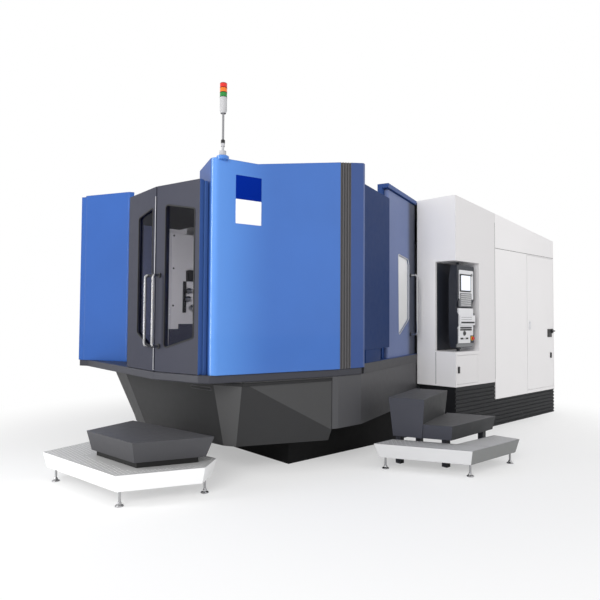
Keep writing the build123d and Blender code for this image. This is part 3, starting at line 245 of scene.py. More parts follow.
def painted(
    name,
    colour,
    rough,
    peel=900.0,
    depth=0.00002,
    coat=0.0,
    cloud=0.05,
    edge_round=EDGE_ROUND,
    gloss_share=0.5,
):
    """Stoved paint on sheet steel.

    The colour drifts by the cloud share with a slow noise, the gloss drifts with a second one,
    and the bump is the peel: a fine noise whose scale is in cells to the metre.
    """
    material, shader = shaded(name)
    shader["Coat Weight"].default_value = coat
    shader["Specular IOR Level"].default_value = gloss_share
    shader["Coat Roughness"].default_value = COAT_ROUGH
    place = placed(material)
    tones = [[min(1.0, c * gain) for c in colour] for gain in (1 - cloud, 1 + cloud)]
    drift = noise(material, place, CLOUD_CELLS, CLOUD_DETAIL)
    gloss = noise(material, place, GLOSS_CELLS, GLOSS_DETAIL)
    bump = bumped(material, noise(material, place, peel), PEEL_STRENGTH, depth)
    edge = node(material, "Bevel", Radius=edge_round)
    edge.samples = 4
    low, high = (min(1.0, rough * swing) for swing in GLOSS_SWING)
    link_to(
        material,
        (toned(material, drift, list(zip(CLOUD_STOPS, tones))), shader["Base Color"]),
        (stepped(material, gloss, 0.0, 1.0, low, high), shader["Roughness"]),
        (edge.outputs["Normal"], bump.inputs["Normal"]),
        (bump.outputs["Normal"], shader["Normal"]),
    )
    return material


def finish_nodes(material, *names):
    """Gives the material to CAD nodes, in place of what they came with."""
    for name in names:
        mesh = nodes[name].data
        mesh.materials.clear()
        mesh.materials.append(material)


def along_axis(material, axis):
    """One coordinate of a point in the piece's own axes."""
    part = node(material, "SeparateXYZ")
    link_to(material, (placed(material), part.inputs["Vector"]))
    return part.outputs[axis]


def mixed_in(material, share, colour):
    """Mixes a second colour over the paint by a share from 0 to 1."""
    mix = node(material, "Mix")
    mix.data_type = "RGBA"
    mix.inputs[7].default_value = (*colour, 1)
    base = material.node_tree.nodes["Principled BSDF"].inputs["Base Color"]
    link_to(
        material,
        (share, mix.inputs[0]),
        (base.links[0].from_socket, mix.inputs[6]),
        (mix.outputs[2], base),
    )


# The rounded front corner of the right housing is painted paler than the flank, a painted
# highlight, and is glossier;
# the plane that turns back from it is painted deeper, a painted shade, and is duller. All three
# follow X in metres.
CORNER_X, FLANK_X, FLANK_FADE_X = 1.100, 1.140, 1.225
BEHIND_X, FRONT_X = 1.050, 1.078
CORNER_COAT, FLANK_COAT = 0.9, 0.45
BEHIND_GLOSS, FLANK_GLOSS = 0.05, 0.35
CORNER_HIGHLIGHT_AZURE, BEHIND_SHADE_AZURE = (0.085, 0.260, 0.690), (0.035, 0.090, 0.300)
HOUSING_ROUND = 0.012
azure_paint = painted(
    "azure_paint", AZURE, 0.30, coat=0.5, edge_round=HOUSING_ROUND, gloss_share=FLANK_GLOSS
)
azure_x = along_axis(azure_paint, "X")
corner_highlight_share = stepped(azure_paint, azure_x, FLANK_FADE_X, CORNER_X, smooth=True)
# Painted highlight on the rounded corner, and painted shade on the plane behind it.
mixed_in(azure_paint, corner_highlight_share, CORNER_HIGHLIGHT_AZURE)
mixed_in(azure_paint, stepped(azure_paint, azure_x, FRONT_X, BEHIND_X), BEHIND_SHADE_AZURE)
corner_coat = stepped(azure_paint, azure_x, CORNER_X, FLANK_X, CORNER_COAT, FLANK_COAT)
in_front = stepped(azure_paint, azure_x, BEHIND_X, FRONT_X)
coat_share = combined(azure_paint, "MULTIPLY", corner_coat, in_front)
azure_gloss = stepped(azure_paint, azure_x, BEHIND_X, FRONT_X, BEHIND_GLOSS, FLANK_GLOSS)
azure_shader = azure_paint.node_tree.nodes["Principled BSDF"].inputs
link_to(
    azure_paint,
    (coat_share, azure_shader["Coat Weight"]),
    (azure_gloss, azure_shader["Specular IOR Level"]),
)
finish_nodes(azure_paint, "right_housing")
# The left housing and the side post take darker copies of the azure: painted shade.
LEFT_SHADE_AZURE, SHADED_AZURE = (0.030, 0.108, 0.390), (0.030, 0.075, 0.250)
left_shade_azure = painted(
    "left_shade_azure", LEFT_SHADE_AZURE, 0.36, coat=0.25, edge_round=HOUSING_ROUND, gloss_share=0.2
)
finish_nodes(left_shade_azure, "left_housing")
shaded_azure = painted("shaded_azure", SHADED_AZURE, 0.34, coat=0.2, gloss_share=0.25)
finish_nodes(shaded_azure, "side_post")


# Pocket cover: the flat sheet panel that the operator door slides behind.
# It is folded at its edges, screwed to the side frame and painted a deeper, duller blue.
NAVY = (0.014, 0.036, 0.125)
navy_paint = painted("navy_paint", NAVY, 0.5, gloss_share=0.1)
finish_nodes(navy_paint, "pocket_cover")


# Door leaves and their frame: folded steel in a blue-grey satin paint.
# Where the frame and the right leaf reach the blue housing, their last strip is painted blue.
SLATE = (0.036, 0.038, 0.056)
slate_paint = painted("slate_paint", SLATE, 0.45, gloss_share=0.15)
finish_nodes(slate_paint, "setup_door_left")


def along(material, source, way):
    """The share of a vector along a fixed direction: their dot product."""
    share = node(material, "VectorMath")
    share.operation = "DOT_PRODUCT"
    share.inputs[1].default_value = way
    link_to(material, (source, share.inputs[0]))
    return share.outputs["Value"]


def two_tone(name, first, second, across, start, finish):
    """Paint that passes from one colour to the other along a plan direction."""
    material = painted(name, first, 0.42, gloss_share=0.2)
    value = along(material, placed(material), (*across, 0))
    mixed_in(material, stepped(material, value, start, finish, smooth=True), second)
    return material


POST_AZURE = (0.050, 0.110, 0.310)
FRAME_SPLIT = ((1.0, 0.0), 0.93, 0.94)
LEAF_SPLIT = ((0.9637, 0.2671), 0.1565, 0.1575)
frame_paint = two_tone("frame_paint", SLATE, POST_AZURE, *FRAME_SPLIT)
finish_nodes(frame_paint, "front_frame")
right_leaf_paint = two_tone("right_leaf_paint", SLATE, POST_AZURE, *LEAF_SPLIT)
finish_nodes(right_leaf_paint, "setup_door_right")


# Operator door: a folded sheet door painted grey blue that darkens to slate towards its handle,
# the pale part a painted reflection of the white studio and the slate a painted shade.
# Its frame above the sill is in the shaded azure, a painted shade, and below the door it takes the
# casing's grey.
DOOR_REFLECTION_PALE, DOOR_SHADE_SLATE = (0.150, 0.195, 0.370), (0.062, 0.070, 0.100)
DOOR_SPLIT = ((-0.3322, 0.9432), -0.060, 0.120)
sill_paint = painted("sill_paint", SHADED_AZURE, 0.4, gloss_share=0.2)
finish_nodes(sill_paint, "door_frame")
door_reflection_paint = two_tone("door_reflection_paint", DOOR_REFLECTION_PALE, DOOR_SHADE_SLATE, *DOOR_SPLIT)
finish_nodes(door_reflection_paint, "operator_door")


# Hull, casing and deck: thick plate and sheet under the housings, in a neutral satin grey.
# The hull is folded from separate plates; the narrow corner plate and the upright one are painted
# lighter by the way they face, as painted light.
HULL_GREY, CASING_GREY = (0.029, 0.029, 0.030), (0.066, 0.066, 0.071)
CORNER_PLATE_LIT, UPRIGHT_PLATE_LIT = (0.088, 0.088, 0.089), (0.056, 0.056, 0.057)
UPRIGHT_WAY, CORNER_WAY = (0.9849, -0.1727, 0.0), (0.455, -0.838, -0.300)
DECK_GREY = (0.044, 0.045, 0.056)


def painted_light_by_facing(material, other, way, start, finish):
    """Takes another colour where the surface's outward direction has a large share along a way:
    light and shade painted by the way a face turns.
    """
    normal = node(material, "NewGeometry").outputs["True Normal"]
    value = along(material, normal, way)
    mixed_in(material, stepped(material, value, start, finish), other)


hull_paint = painted(
    "hull_paint", HULL_GREY, 0.50, peel=700.0, depth=0.00004, edge_round=0.008, gloss_share=0.35
)
casing_paint = painted("casing_paint", CASING_GREY, 0.45, peel=700.0, depth=0.00003)
# Painted light: the upright and corner plates lighter where they face the lamps.
painted_light_by_facing(hull_paint, UPRIGHT_PLATE_LIT, UPRIGHT_WAY, 0.955, 0.985)
painted_light_by_facing(hull_paint, CORNER_PLATE_LIT, CORNER_WAY, 0.965, 0.985)
finish_nodes(hull_paint, "front_hull", "base_pan")
finish_nodes(casing_paint, "side_casing")
deck_paint = painted("deck_paint", DECK_GREY, 0.42, edge_round=0.020, gloss_share=0.3)
finish_nodes(deck_paint, "deck")


# Corner strip: a fluted extrusion in warm dark grey, between the flank and the side post.
# It covers the joint of the two sheets and is clipped on from the front.
STRIP_GREY = (0.085, 0.082, 0.085)
finish_nodes(painted("strip_paint", STRIP_GREY, 0.38), "corner_strip")


# Bed plinth and ribbed plinth: the near-black foot of the machine, cast and painted matt, and
# the grooved sheet that stands under the control box and the cabinets.
BASE_BLACK, RIB_GREY = (0.0050, 0.0050, 0.0053), (0.014, 0.0147, 0.0165)
plinth_black = painted("plinth_black", BASE_BLACK, 0.62, peel=400.0, depth=0.00008, gloss_share=0.2)
rib_grey = painted("rib_grey", RIB_GREY, 0.50, peel=600.0, depth=0.00004, gloss_share=0.25)
finish_nodes(plinth_black, "bed_plinth")
finish_nodes(rib_grey, "ribbed_plinth")


# Control box and cabinets: sheet steel in a warm white fine-texture powder coat.
# The box is painted whiter than the cabinets on its front, as painted light, and darker on its
# right side, the one with the access hatch, as painted shade.
POWDER_WHITE, BOX_LIT_WHITE = (0.86, 0.845, 0.85), (0.94, 0.925, 0.935)
BOX_SIDE_SHADE = (0.745, 0.730, 0.735)
TO_RIGHT, UPWARD = (1.0, 0.0, 0.0), (0.0, 0.0, 1.0)
TURN_START, TURN_FINISH = 0.6, 0.9
powder = {"peel": 1400.0, "depth": 0.00006, "cloud": 0.012}
finish_nodes(painted("white_powder", POWDER_WHITE, 0.55, **powder), "cabinet", "cabinet_door")
box_lit_shaded_powder = painted("box_lit_shaded_powder", BOX_LIT_WHITE, 0.55, **powder)
painted_light_by_facing(box_lit_shaded_powder, BOX_SIDE_SHADE, TO_RIGHT, TURN_START, TURN_FINISH)
finish_nodes(box_lit_shaded_powder, "control_box", "access_hatch")


# Platforms: folded sheet trays, powder-coated pale, with a greyer tread sheet on top.
# The side platform is painted darker than the front one, as painted shade, and its right side
# darker still, painted as it stands in shade.
TREAD_EDGE, SILL_GAP = 0.2495, 0.001
TREAD_GREY, SIDE_TREAD_SHADE = (0.47, 0.47, 0.47), (0.40, 0.40, 0.41)
PALE, SIDE_PALE_SHADE, SIDE_SHADE = (0.93, 0.93, 0.93), (0.70, 0.70, 0.705), (0.215, 0.220, 0.217)
tread = {"peel": 300.0, "depth": 0.0002}


def by_height(material, other, level):
    """Takes the colour of another paint below a level over the floor."""
    under = node(material, "Math")
    under.operation = "LESS_THAN"
    under.inputs[1].default_value = level
    link_to(material, (along_axis(material, "Z"), under.inputs[0]))
    mixed_in(material, under.outputs["Value"], other)


by_height(sill_paint, CASING_GREY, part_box("operator_door")[0][2] - SILL_GAP)
tread_sheet = painted("tread_sheet", TREAD_GREY, 0.5, **tread)
by_height(tread_sheet, PALE, TREAD_EDGE)
finish_nodes(tread_sheet, "platform_front")
side_tread_shaded_sheet = painted("side_tread_shaded_sheet", SIDE_TREAD_SHADE, 0.5, **tread)
by_height(side_tread_shaded_sheet, SIDE_PALE_SHADE, TREAD_EDGE)
painted_light_by_facing(side_tread_shaded_sheet, SIDE_SHADE, TO_RIGHT, TURN_START, TURN_FINISH)
finish_nodes(side_tread_shaded_sheet, "platform_side")


# Step boxes: folded sheet in a dark fine-texture coat; the front one is near-black below the top of
# its recessed toe.
# The side one is painted bluer on its front, darker on its right and lighter on top, as painted
# light and shade.
STEP_DARK, TOE_BLACK, TOE_TOP = (0.060, 0.060, 0.066), (0.004, 0.004, 0.004), 0.2995
STEP_LIT_BLUE, STEP_SHADE = (0.047, 0.049, 0.064), (0.022, 0.023, 0.025)
STEP_TOP_LIT = (0.062, 0.062, 0.066)
coarse = {"peel": 500.0, "depth": 0.00008}
toe_paint = painted("toe_paint", STEP_DARK, 0.55, **coarse)
by_height(toe_paint, TOE_BLACK, TOE_TOP)
finish_nodes(toe_paint, "step_front")
side_step_lit_shaded_paint = painted("side_step_lit_shaded_paint", STEP_LIT_BLUE, 0.55, **coarse)
painted_light_by_facing(side_step_lit_shaded_paint, STEP_SHADE, TO_RIGHT, TURN_START, TURN_FINISH)
painted_light_by_facing(side_step_lit_shaded_paint, STEP_TOP_LIT, UPWARD, TURN_START, TURN_FINISH)
finish_nodes(side_step_lit_shaded_paint, "step_side")


# Inside walls, left side cover and roof: bent sheet, the walls in light grey paint.
# The roof is painted near-black and dull as painted shade, so that the panes show a dark ceiling
# behind them.
SHEET_GREY, ROOF_SHADE_BLACK = (0.42, 0.41, 0.41), (0.012, 0.012, 0.013)
sheet_paint = painted("sheet_paint", SHEET_GREY, 0.42, cloud=0.03)
finish_nodes(sheet_paint, "inner_wall", "divider", "left_cover")
finish_nodes(painted("roof_shade_paint", ROOF_SHADE_BLACK, 0.6, gloss_share=0.1), "roof")


# Castings inside: the bed, saddle, column, spindle head and tool changer, of cast iron.
# They wear a green-grey paint that keeps the coarse skin of the sand mould.
CAST_GREEN_GREY = (0.30, 0.32, 0.33)
cast_paint = painted("cast_paint", CAST_GREEN_GREY, 0.55, peel=120.0, depth=0.0004)
finish_nodes(cast_paint, "bed", "saddle", "column", "spindle_head", "changer")


# Bare metal: ground steel on the rails, tables and spindle, dark steel in the tool magazine.
# The handles are chromed bar and the buttons turned caps, all screwed on from behind.
MARK_CELLS, MARK_SCALE, MARK_DETAIL, MARK_STRENGTH, MARK_DEPTH = 60.0, 8.0, 4.0, 0.4, 0.00001
MARK_DULL, MARK_SWING = 0.9, (0.8, 1.25)


def metal(name, colour, rough, lines=MARK_CELLS):
    """Bare metal: a noise drawn out along one direction gives the marks of grinding."""
    material, shader = shaded(name)
    shader["Metallic"].default_value = 1.0
    stretch = node(material, "Mapping", Scale=(lines, MARK_CELLS, MARK_CELLS))
    link_to(material, (placed(material), stretch.inputs["Vector"]))
    marks = noise(material, stretch.outputs["Vector"], MARK_SCALE, MARK_DETAIL)
    dull = [c * MARK_DULL for c in colour]
    low, high = (rough * swing for swing in MARK_SWING)
    link_to(
        material,
        (toned(material, marks, ((0.0, dull), (1.0, colour))), shader["Base Color"]),
        (stepped(material, marks, 0.0, 1.0, low, high), shader["Roughness"]),
        (bumped(material, marks, MARK_STRENGTH, MARK_DEPTH).outputs["Normal"], shader["Normal"]),
    )
    return material


ground_steel = metal("ground_steel", (0.62, 0.62, 0.63), 0.28, lines=4.0)
chrome = metal("chrome", (0.45, 0.45, 0.46), 0.10)
dark_steel = metal("dark_steel", (0.10, 0.10, 0.105), 0.35)
finish_nodes(ground_steel, "bed_rails", "rotary_table", "work_pallet", "setup_pallet", "spindle")
finish_nodes(dark_steel, "magazine_disc", "magazine_tools")
finish_nodes(chrome, "setup_button_1", "setup_button_2", "setup_button_3")
finish_nodes(chrome, "operator_handle", "setup_handle_left", "setup_handle_right")


# Mouldings: plastic straight from the mould, for the switches, stops, knobs and the pendant.
# They snap or screw into the sheet, and the grain of the mould leaves them evenly dull.
def moulded(name, colour, rough):
    """Moulded plastic or rubber with a fine even grain."""
    return painted(name, colour, rough, peel=1600.0, depth=0.00003, cloud=0.03)


black_plastic = moulded("black_plastic", (0.012, 0.012, 0.013), 0.4)
pendant_dark = moulded("pendant_dark", (0.022, 0.025, 0.035), 0.45)
signal_red = moulded("signal_red", (0.62, 0.02, 0.012), 0.28)
panel_white = moulded("panel_white", (0.74, 0.74, 0.76), 0.4)
finish_nodes(black_plastic, "main_switch", "pendant_knob")
finish_nodes(pendant_dark, "pendant")
finish_nodes(panel_white, "cabinet_handle", "pendant_face", "pendant_keys")
finish_nodes(signal_red, "setup_stop", "pendant_stop")


# Panes: laminated glass set in the setup doors, tinted dark blue on the left as a painted
# reflection, and nearly clear on the right.
# The operator door's pane is frosted white behind its polished face, its whiteness partly a painted
# reflection of the white studio.
PANE_BEND, FILM_CELLS, FILM_SWING = 1.1, 5.0, 0.02
LEFT_REFLECTION_TINT, RIGHT_TINT, FROST_REFLECTION = (0.10, 0.12, 0.24), (0.78, 0.78, 0.84), (0.95, 0.955, 0.93)


def clear_pane(name, tint, rough):
    """Clear laminated glass: a straight see-through part under a gloss that follows the view."""
    material, shader = shaded(name)
    shader["Base Color"].default_value = (*tint, 1)
    shader["Transmission Weight"].default_value = 1.0
    shader["IOR"].default_value = PANE_BEND
    film = noise(material, placed(material), FILM_CELLS)
    spread = stepped(material, film, 0.0, 1.0, rough, rough + FILM_SWING)
    link_to(material, (spread, shader["Roughness"]))
    return material


finish_nodes(clear_pane("left_pane", LEFT_REFLECTION_TINT, 0.02), "setup_glass_left")
finish_nodes(clear_pane("right_pane", RIGHT_TINT, 0.01), "setup_glass_right")
frosted_reflection = painted("frosted_pane", FROST_REFLECTION, 0.30, peel=1500.0, coat=1.0, cloud=0.08)
finish_nodes(frosted_reflection, "operator_glass")


# Signal tower: a turned plastic stack of a base, pole, clip and body under three ribbed lenses.
# The lenses are dyed red, amber and green; the pole is a grey tube and the clip a black moulding.
TOWER_SPAN = (2.8, 3.6)
LAMP_BANDS = (3.433, 3.475, 3.517)
TOWER_BANDS = ((2.88, (0.46, 0.46, 0.48)), (3.046, (0.24, 0.24, 0.25)), (3.289, (0.48, 0.48, 0.49)))


def banded(name, bands, rough, glow=0.0):
    """Plastic whose colour steps with the height over the floor, with a fine grain."""
    first = bands[0][1]
    material = painted(name, first, rough, peel=1500.0, cloud=0.02)
    shader = material.node_tree.nodes["Principled BSDF"].inputs
    foot, tip = TOWER_SPAN
    height = stepped(material, along_axis(material, "Z"), foot, tip)
    stops = [(0.0, first)] + [((low - foot) / (tip - foot), colour) for low, colour in bands[1:]]
    colour = toned(material, height, stops, "CONSTANT")
    link_to(material, (colour, shader["Base Color"]))
    if glow:
        shader["Emission Strength"].default_value = glow
        link_to(material, (colour, shader["Emission Color"]))
    return material


lens_colours = ((0.012, 0.20, 0.03), (0.75, 0.16, 0.012), (0.60, 0.018, 0.012))
lamp_plastic = banded("lamp_plastic", tuple(zip(LAMP_BANDS, lens_colours)), 0.18, glow=0.12)
finish_nodes(lamp_plastic, "signal_lamps")
finish_nodes(banded("tower_plastic", TOWER_BANDS, 0.35), "signal_tower")


def frame_on(origin, towards=None, out=None):
    """An upright face's own axes: its start, its run, straight up, and outward = run x up."""
    start, up = np.zeros(3), np.array([0.0, 0.0, 1.0])
    start[: len(origin)] = origin
    if out is None:
        run = np.array([*towards, 0.0]) - start
        run /= np.linalg.norm(run)
    else:
        run = np.cross(up, out)
    return start, run, up, np.cross(run, up)


def on_face(face, local):
    """World points of local ones: P = start + x run + y up + z out."""
    start, run, up, out = face
    local = np.asarray(local, float)
    return start + local[..., :1] * run + local[..., 1:2] * up + local[..., 2:3] * out


def skinned(grid, loop=False):
    """A closed shape over a grid of rings: quads between rings, and a flat cap at each end.

    The rings close on themselves; with loop the last ring also joins the first. The faces are
    turned outward where the volume V = sum of P0 . A / 3 comes out negative.
    """
    rows, columns = grid.shape[:2]
    row = np.arange(rows if loop else rows - 1)[:, None]
    column = np.arange(columns)[None, :]
    beside, above = (column + 1) % columns, (row + 1) % rows
    corners = (row, column), (row, beside), (above, beside), (above, column)
    walls = np.stack([i * columns + j for i, j in corners], -1).reshape(-1, 4)
    points = grid.reshape(-1, 3)
    faces = [walls]
    if not loop:
        faces.append(np.arange(columns)[None, ::-1])
        faces.append((np.arange(columns) + (rows - 1) * columns)[None])
    volume = 0.0
    for group in faces:
        rim = points[group]
        area = np.cross(rim, np.roll(rim, -1, 1)).sum(1)
        volume += np.einsum("ij,ij->", rim[:, 0], area)
    if volume < 0:
        faces = [group[:, ::-1] for group in faces]
    return points, faces


def pad(face, at, size, corner=0.002, roll=0.001, steps=3, base=0.0):
    """A plate with rounded corners and a rolled front edge, its size in width, height and depth.

    At the angle a of the roll the outline is inset by roll (1 - cos a), at the depth
    thick - roll + roll sin a.
    """
    wide, high, thick = size
    turn = np.linspace(0, np.pi / 2, steps + 1)
    inset = np.concatenate([[0], roll * (1 - np.cos(turn))])
    level = np.concatenate([[0], thick - roll + roll * np.sin(turn)])
    quarter = np.arange(4)[:, None] * np.pi / 2 + turn
    signs = np.array([[1, 1], [-1, 1], [-1, -1], [1, -1]])[:, None]
    unit = np.stack([np.cos(quarter), np.sin(quarter)], -1)
    centres = signs * (np.array([wide, high]) / 2 - corner) + at
    rings = centres + unit * (corner - inset)[:, None, None, None]
    rings = rings.reshape(len(level), -1, 2)
    depth = np.broadcast_to((base + level)[:, None, None], (*rings.shape[:2], 1))
    return skinned(on_face(face, np.concatenate([rings, depth], -1)))


def turned(face, at, profile, steps=28):
    """A turned form: the radius r at the height h, carried round an axis out of the face."""
    profile = np.asarray(profile, float)
    angle = np.linspace(0, 2 * np.pi, steps, endpoint=False)
    ring = np.stack([np.cos(angle), np.sin(angle)], -1)
    flat = at + ring[None] * profile[:, None, :1]
    depth = np.broadcast_to(profile[:, None, 1:], (*flat.shape[:2], 1))
    return skinned(on_face(face, np.concatenate([flat, depth], -1)))


def joined(*shapes):
    """One shape out of several."""
    points, faces, start = [], [], 0
    for some, groups in shapes:
        points.append(some)
        faces += [group + start for group in groups]
        start += len(some)
    return np.concatenate(points), faces


def copies(shape, shifts):
    """The same shape at many places: P + S for every shift S."""
    points, faces = shape
    shifts = np.asarray(shifts, float)
    start = (np.arange(len(shifts)) * len(points))[:, None, None]
    moved = (points[None] + shifts[:, None]).reshape(-1, 3)
    return moved, [(group[None] + start).reshape(-1, group.shape[1]) for group in faces]


SHARP_ANGLE = math.radians(32)


def lay(name, shape, material, body="machine"):
    """Puts a shape into the scene and lets it ride on a body; edges over the angle stay sharp."""
    points, faces = shape
    mesh = bpy.data.meshes.new(name)
    corners = np.concatenate([group.reshape(-1) for group in faces])
    sizes = np.concatenate([np.full(len(group), group.shape[1]) for group in faces])
    mesh.vertices.add(len(points))
    mesh.vertices.foreach_set("co", points.astype(np.float32).ravel())
    mesh.loops.add(len(corners))
    mesh.loops.foreach_set("vertex_index", corners.astype(np.int32))
    mesh.polygons.add(len(sizes))
    starts = np.concatenate([[0], np.cumsum(sizes)[:-1]])
    mesh.polygons.foreach_set("loop_start", starts.astype(np.int32))
    mesh.update(calc_edges=True)
    mesh.shade_smooth()
    mesh.set_sharp_from_angle(angle=SHARP_ANGLE)
    mesh.materials.append(material)
    piece = bpy.data.objects.new(name, mesh)
    bpy.context.scene.collection.objects.link(piece)
    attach(piece, body)
    return piece


TOWER_XY, RING_HALF = (1.112, -2.870), 0.0015
upward = (np.zeros(3), *np.eye(3))
ring_profile = np.array([(0.0325, 0), (0.0335, 0.0008), (0.0335, 0.0022), (0.0325, 0.003)])
cap_profile = [(0.0322, 3.5555), (0.0325, 3.558), (0.0290, 3.5608), (0.012, 3.562)]
clip_profile = [(0.0165, 3.020), (0.0185, 3.022), (0.0185, 3.050), (0.0165, 3.052)]
pad_profile = [(0.052, 2.870), (0.056, 2.884), (0.056, 2.902), (0.050, 2.907), (0.036, 2.908)]
rings = [turned(upward, TOWER_XY, ring_profile + (0, z - RING_HALF)) for z in LAMP_BANDS]
lay("tower_rings", joined(*rings, turned(upward, TOWER_XY, cap_profile)), black_plastic)
lay("tower_clip", turned(upward, TOWER_XY, clip_profile), black_plastic)
lay("tower_pad", turned(upward, TOWER_XY, pad_profile, 40), azure_paint)


# Bare plates on the flank: two flat rectangles of painted sheet, one navy over one white.
# Their corners are clipped round, and adhesive holds them on the housing.
FRONT_CORNER = (1.1136, -2.9773)
PLATE_START, PLATE_END = (1.152, -2.754), (1.196, -2.501)
flank = frame_on(FRONT_CORNER, (1.350, -1.620))
plate_wide = math.dist(PLATE_START, PLATE_END)
plate_middle = (PLATE_START - flank[0][:2]) @ flank[1][:2] + plate_wide / 2
plate_navy = painted("plate_navy", (0.002, 0.020, 0.26), 0.6, peel=1200.0, gloss_share=0.0)
plate_white = painted("plate_white", (0.93, 0.93, 0.94), 0.5, peel=1200.0, cloud=0.01)
for name, middle, high, finish in (
    ("upper_plate", 2.6484, 0.215, plate_navy),
    ("lower_plate", 2.4295, 0.22, plate_white),
):
    plate = pad(flank, (plate_middle, middle), (plate_wide, high, 0.002), corner=0.006)
    lay(name, plate, finish)


# Door trims: black rubber gaskets pressed round the glass, and a pale strip down the leaf's edge, a
# painted highlight where the leaves meet.
# The handles stand on round black collars, each bolted through the door's face.
def rounded(points, radius, steps=5):
    """A closed outline with its corners rounded.

    At each corner the arc's points lie on C + r (cos, sin), with C at r / sin(half) along the
    line that halves the corner.
    """
    corner = np.asarray(points, float)
    back = np.roll(corner, 1, 0) - corner
    front = np.roll(corner, -1, 0) - corner
    back /= np.linalg.norm(back, axis=1)[:, None]
    front /= np.linalg.norm(front, axis=1)[:, None]
    middle = back + front
    middle /= np.linalg.norm(middle, axis=1)[:, None]
    sine = np.abs(back[:, 0] * middle[:, 1] - back[:, 1] * middle[:, 0])
    centre = corner + middle * (radius / sine)[:, None]
    reach = (radius / sine) * np.sqrt(1 - sine**2)
    first = np.arctan2(*(corner + back * reach[:, None] - centre).T[::-1])
    last = np.arctan2(*(corner + front * reach[:, None] - centre).T[::-1])
    sweep = (last - first + np.pi) % (2 * np.pi) - np.pi
    angle = first[:, None] + sweep[:, None] * np.linspace(0, 1, steps + 1)
    arc = centre[:, None] + radius * np.stack([np.cos(angle), np.sin(angle)], -1)
    return arc.reshape(-1, 2)


def swept(path, profile, up, loop=False):
    """Carries a profile along a path in one plane, mitred at each corner.

    P = path + a s + b up, with s = t x up, drawn out by 1 / cos of half the turn.
    """
    path, profile, up = np.asarray(path, float), np.asarray(profile, float), np.asarray(up, float)
    ahead = np.roll(path, -1, 0) - path
    if not loop:
        ahead[-1] = ahead[-2]
    ahead /= np.linalg.norm(ahead, axis=1)[:, None]
    before = np.roll(ahead, 1, 0)
    if not loop:
        before[0] = ahead[0]
    mean = ahead + before
    mean /= np.linalg.norm(mean, axis=1)[:, None]
    side = np.cross(mean, up) / np.einsum("ij,ij->i", mean, ahead)[:, None]
    grid = path[:, None] + profile[None, :, :1] * side[:, None] + profile[None, :, 1:] * up
    return skinned(grid, loop)


GASKET = [(-0.009, -0.002), (-0.009, 0.0025), (-0.006, 0.0045)]
GASKET += [(0.002, 0.0045), (0.005, 0.002), (0.005, -0.002)]
GASKET_ROUND, DOOR_DEPTH = 0.026, 0.048
WALL_START, WALL_TURN = (1.343, -1.271), math.radians(109.4)


def set_back(face, depth):
    """The same face, moved into the machine by a depth."""
    return (face[0] - depth * face[3], *face[1:])


left_leaf = frame_on((-0.142, -3.164), (0.470, -3.178))
right_leaf = frame_on((0.470, -3.178), (1.004, -3.030))
wall = frame_on(WALL_START, np.add(WALL_START, (math.cos(WALL_TURN), math.sin(WALL_TURN))))
door = set_back(wall, DOOR_DEPTH)
left_window = [(0.235, 2.452), (0.545, 2.508), (0.545, 1.221), (0.457, 1.221), (0.235, 1.330)]
right_window = [(0.130, 2.513), (0.492, 2.440), (0.492, 1.300), (0.130, 1.199)]
door_window = [(1.258, 2.291), (1.644, 2.262), (1.683, 2.192), (1.677, 1.481), (1.285, 1.277)]
rubber = moulded("rubber", (0.010, 0.010, 0.011), 0.6)
pale_metal = metal("pale_metal", (0.75, 0.76, 0.78), 0.3)
for name, face, window, body, finish in (
    ("left_gasket", left_leaf, left_window, "setup_door_left", rubber),
    ("right_gasket", right_leaf, right_window, "setup_door_right", rubber),
    ("door_gasket", door, door_window, "operator_door", pale_metal),
):
    ring = rounded(window, GASKET_ROUND)
    flat = np.concatenate([ring, np.zeros((len(ring), 1))], -1)
    lay(name, swept(on_face(face, flat), GASKET, face[3], loop=True), finish, body)

# Painted highlight: a pale metal strip where the edge of the leaf catches the light.
seam_highlight_strip = pad(left_leaf, (0.6015, 1.80), (0.009, 1.62, 0.003))
lay("seam_highlight_strip", seam_highlight_strip, pale_metal, "setup_door_left")
collar = np.array([(0.0215, 0), (0.0215, 0.010), (0.019, 0.013), (0.0135, 0.014)])
for name, face, x, feet, scale, body in (
    ("left_collars", left_leaf, 0.572, (1.212, 1.866), 1.08, "setup_door_left"),
    ("right_collars", right_leaf, 0.060, (1.212, 1.866), 1.08, "setup_door_right"),
    ("door_collars", door, 1.745, (1.280, 2.062), 1.2, "operator_door"),
):
    collars = [turned(face, (x, z), collar * (scale, 1)) for z in feet]
    lay(name, joined(*collars), black_plastic, body)


# Setup station controls: a yellow plate behind the mushroom stop, and steel rings on the buttons.
# The buttons share a small slate panel; the rings clamp it and the plate to the housing.
CONTROLS_X, STOP_Z, BUTTON_Z = 0.130, 1.726, (1.651, 1.609, 1.567)
back = frame_on((0.622, -2.808), FRONT_CORNER)
yellow = painted("plate_yellow", (0.75, 0.42, 0.02), 0.4, peel=1200.0, cloud=0.02)
stop_plate = pad(back, (CONTROLS_X, STOP_Z), (0.074, 0.074, 0.0025), corner=0.036, steps=8)
lay("stop_plate", stop_plate, yellow)
button_ring = [(0.0185, 0), (0.0185, 0.005), (0.0165, 0.008), (0.0135, 0.008)]
button_rings = [turned(back, (CONTROLS_X, z), button_ring) for z in BUTTON_Z]
lay("button_rings", joined(*button_rings), pale_metal)
button_panel = pad(back, (CONTROLS_X, BUTTON_Z[1]), (0.060, 0.150, 0.002), corner=0.004)
lay("button_panel", button_panel, slate_paint)


# Niche back: a dark sheet laid on the back wall of the recess that the pendant hangs in.
# It takes the pendant's dark plastic finish.
niche_back = frame_on((0.966, 0.0), out=TO_RIGHT)
niche_sheet = pad(niche_back, (0.885, 1.65), (0.560, 1.16, 0.004), corner=0.004)
lay("niche_back_sheet", niche_sheet, pendant_dark)


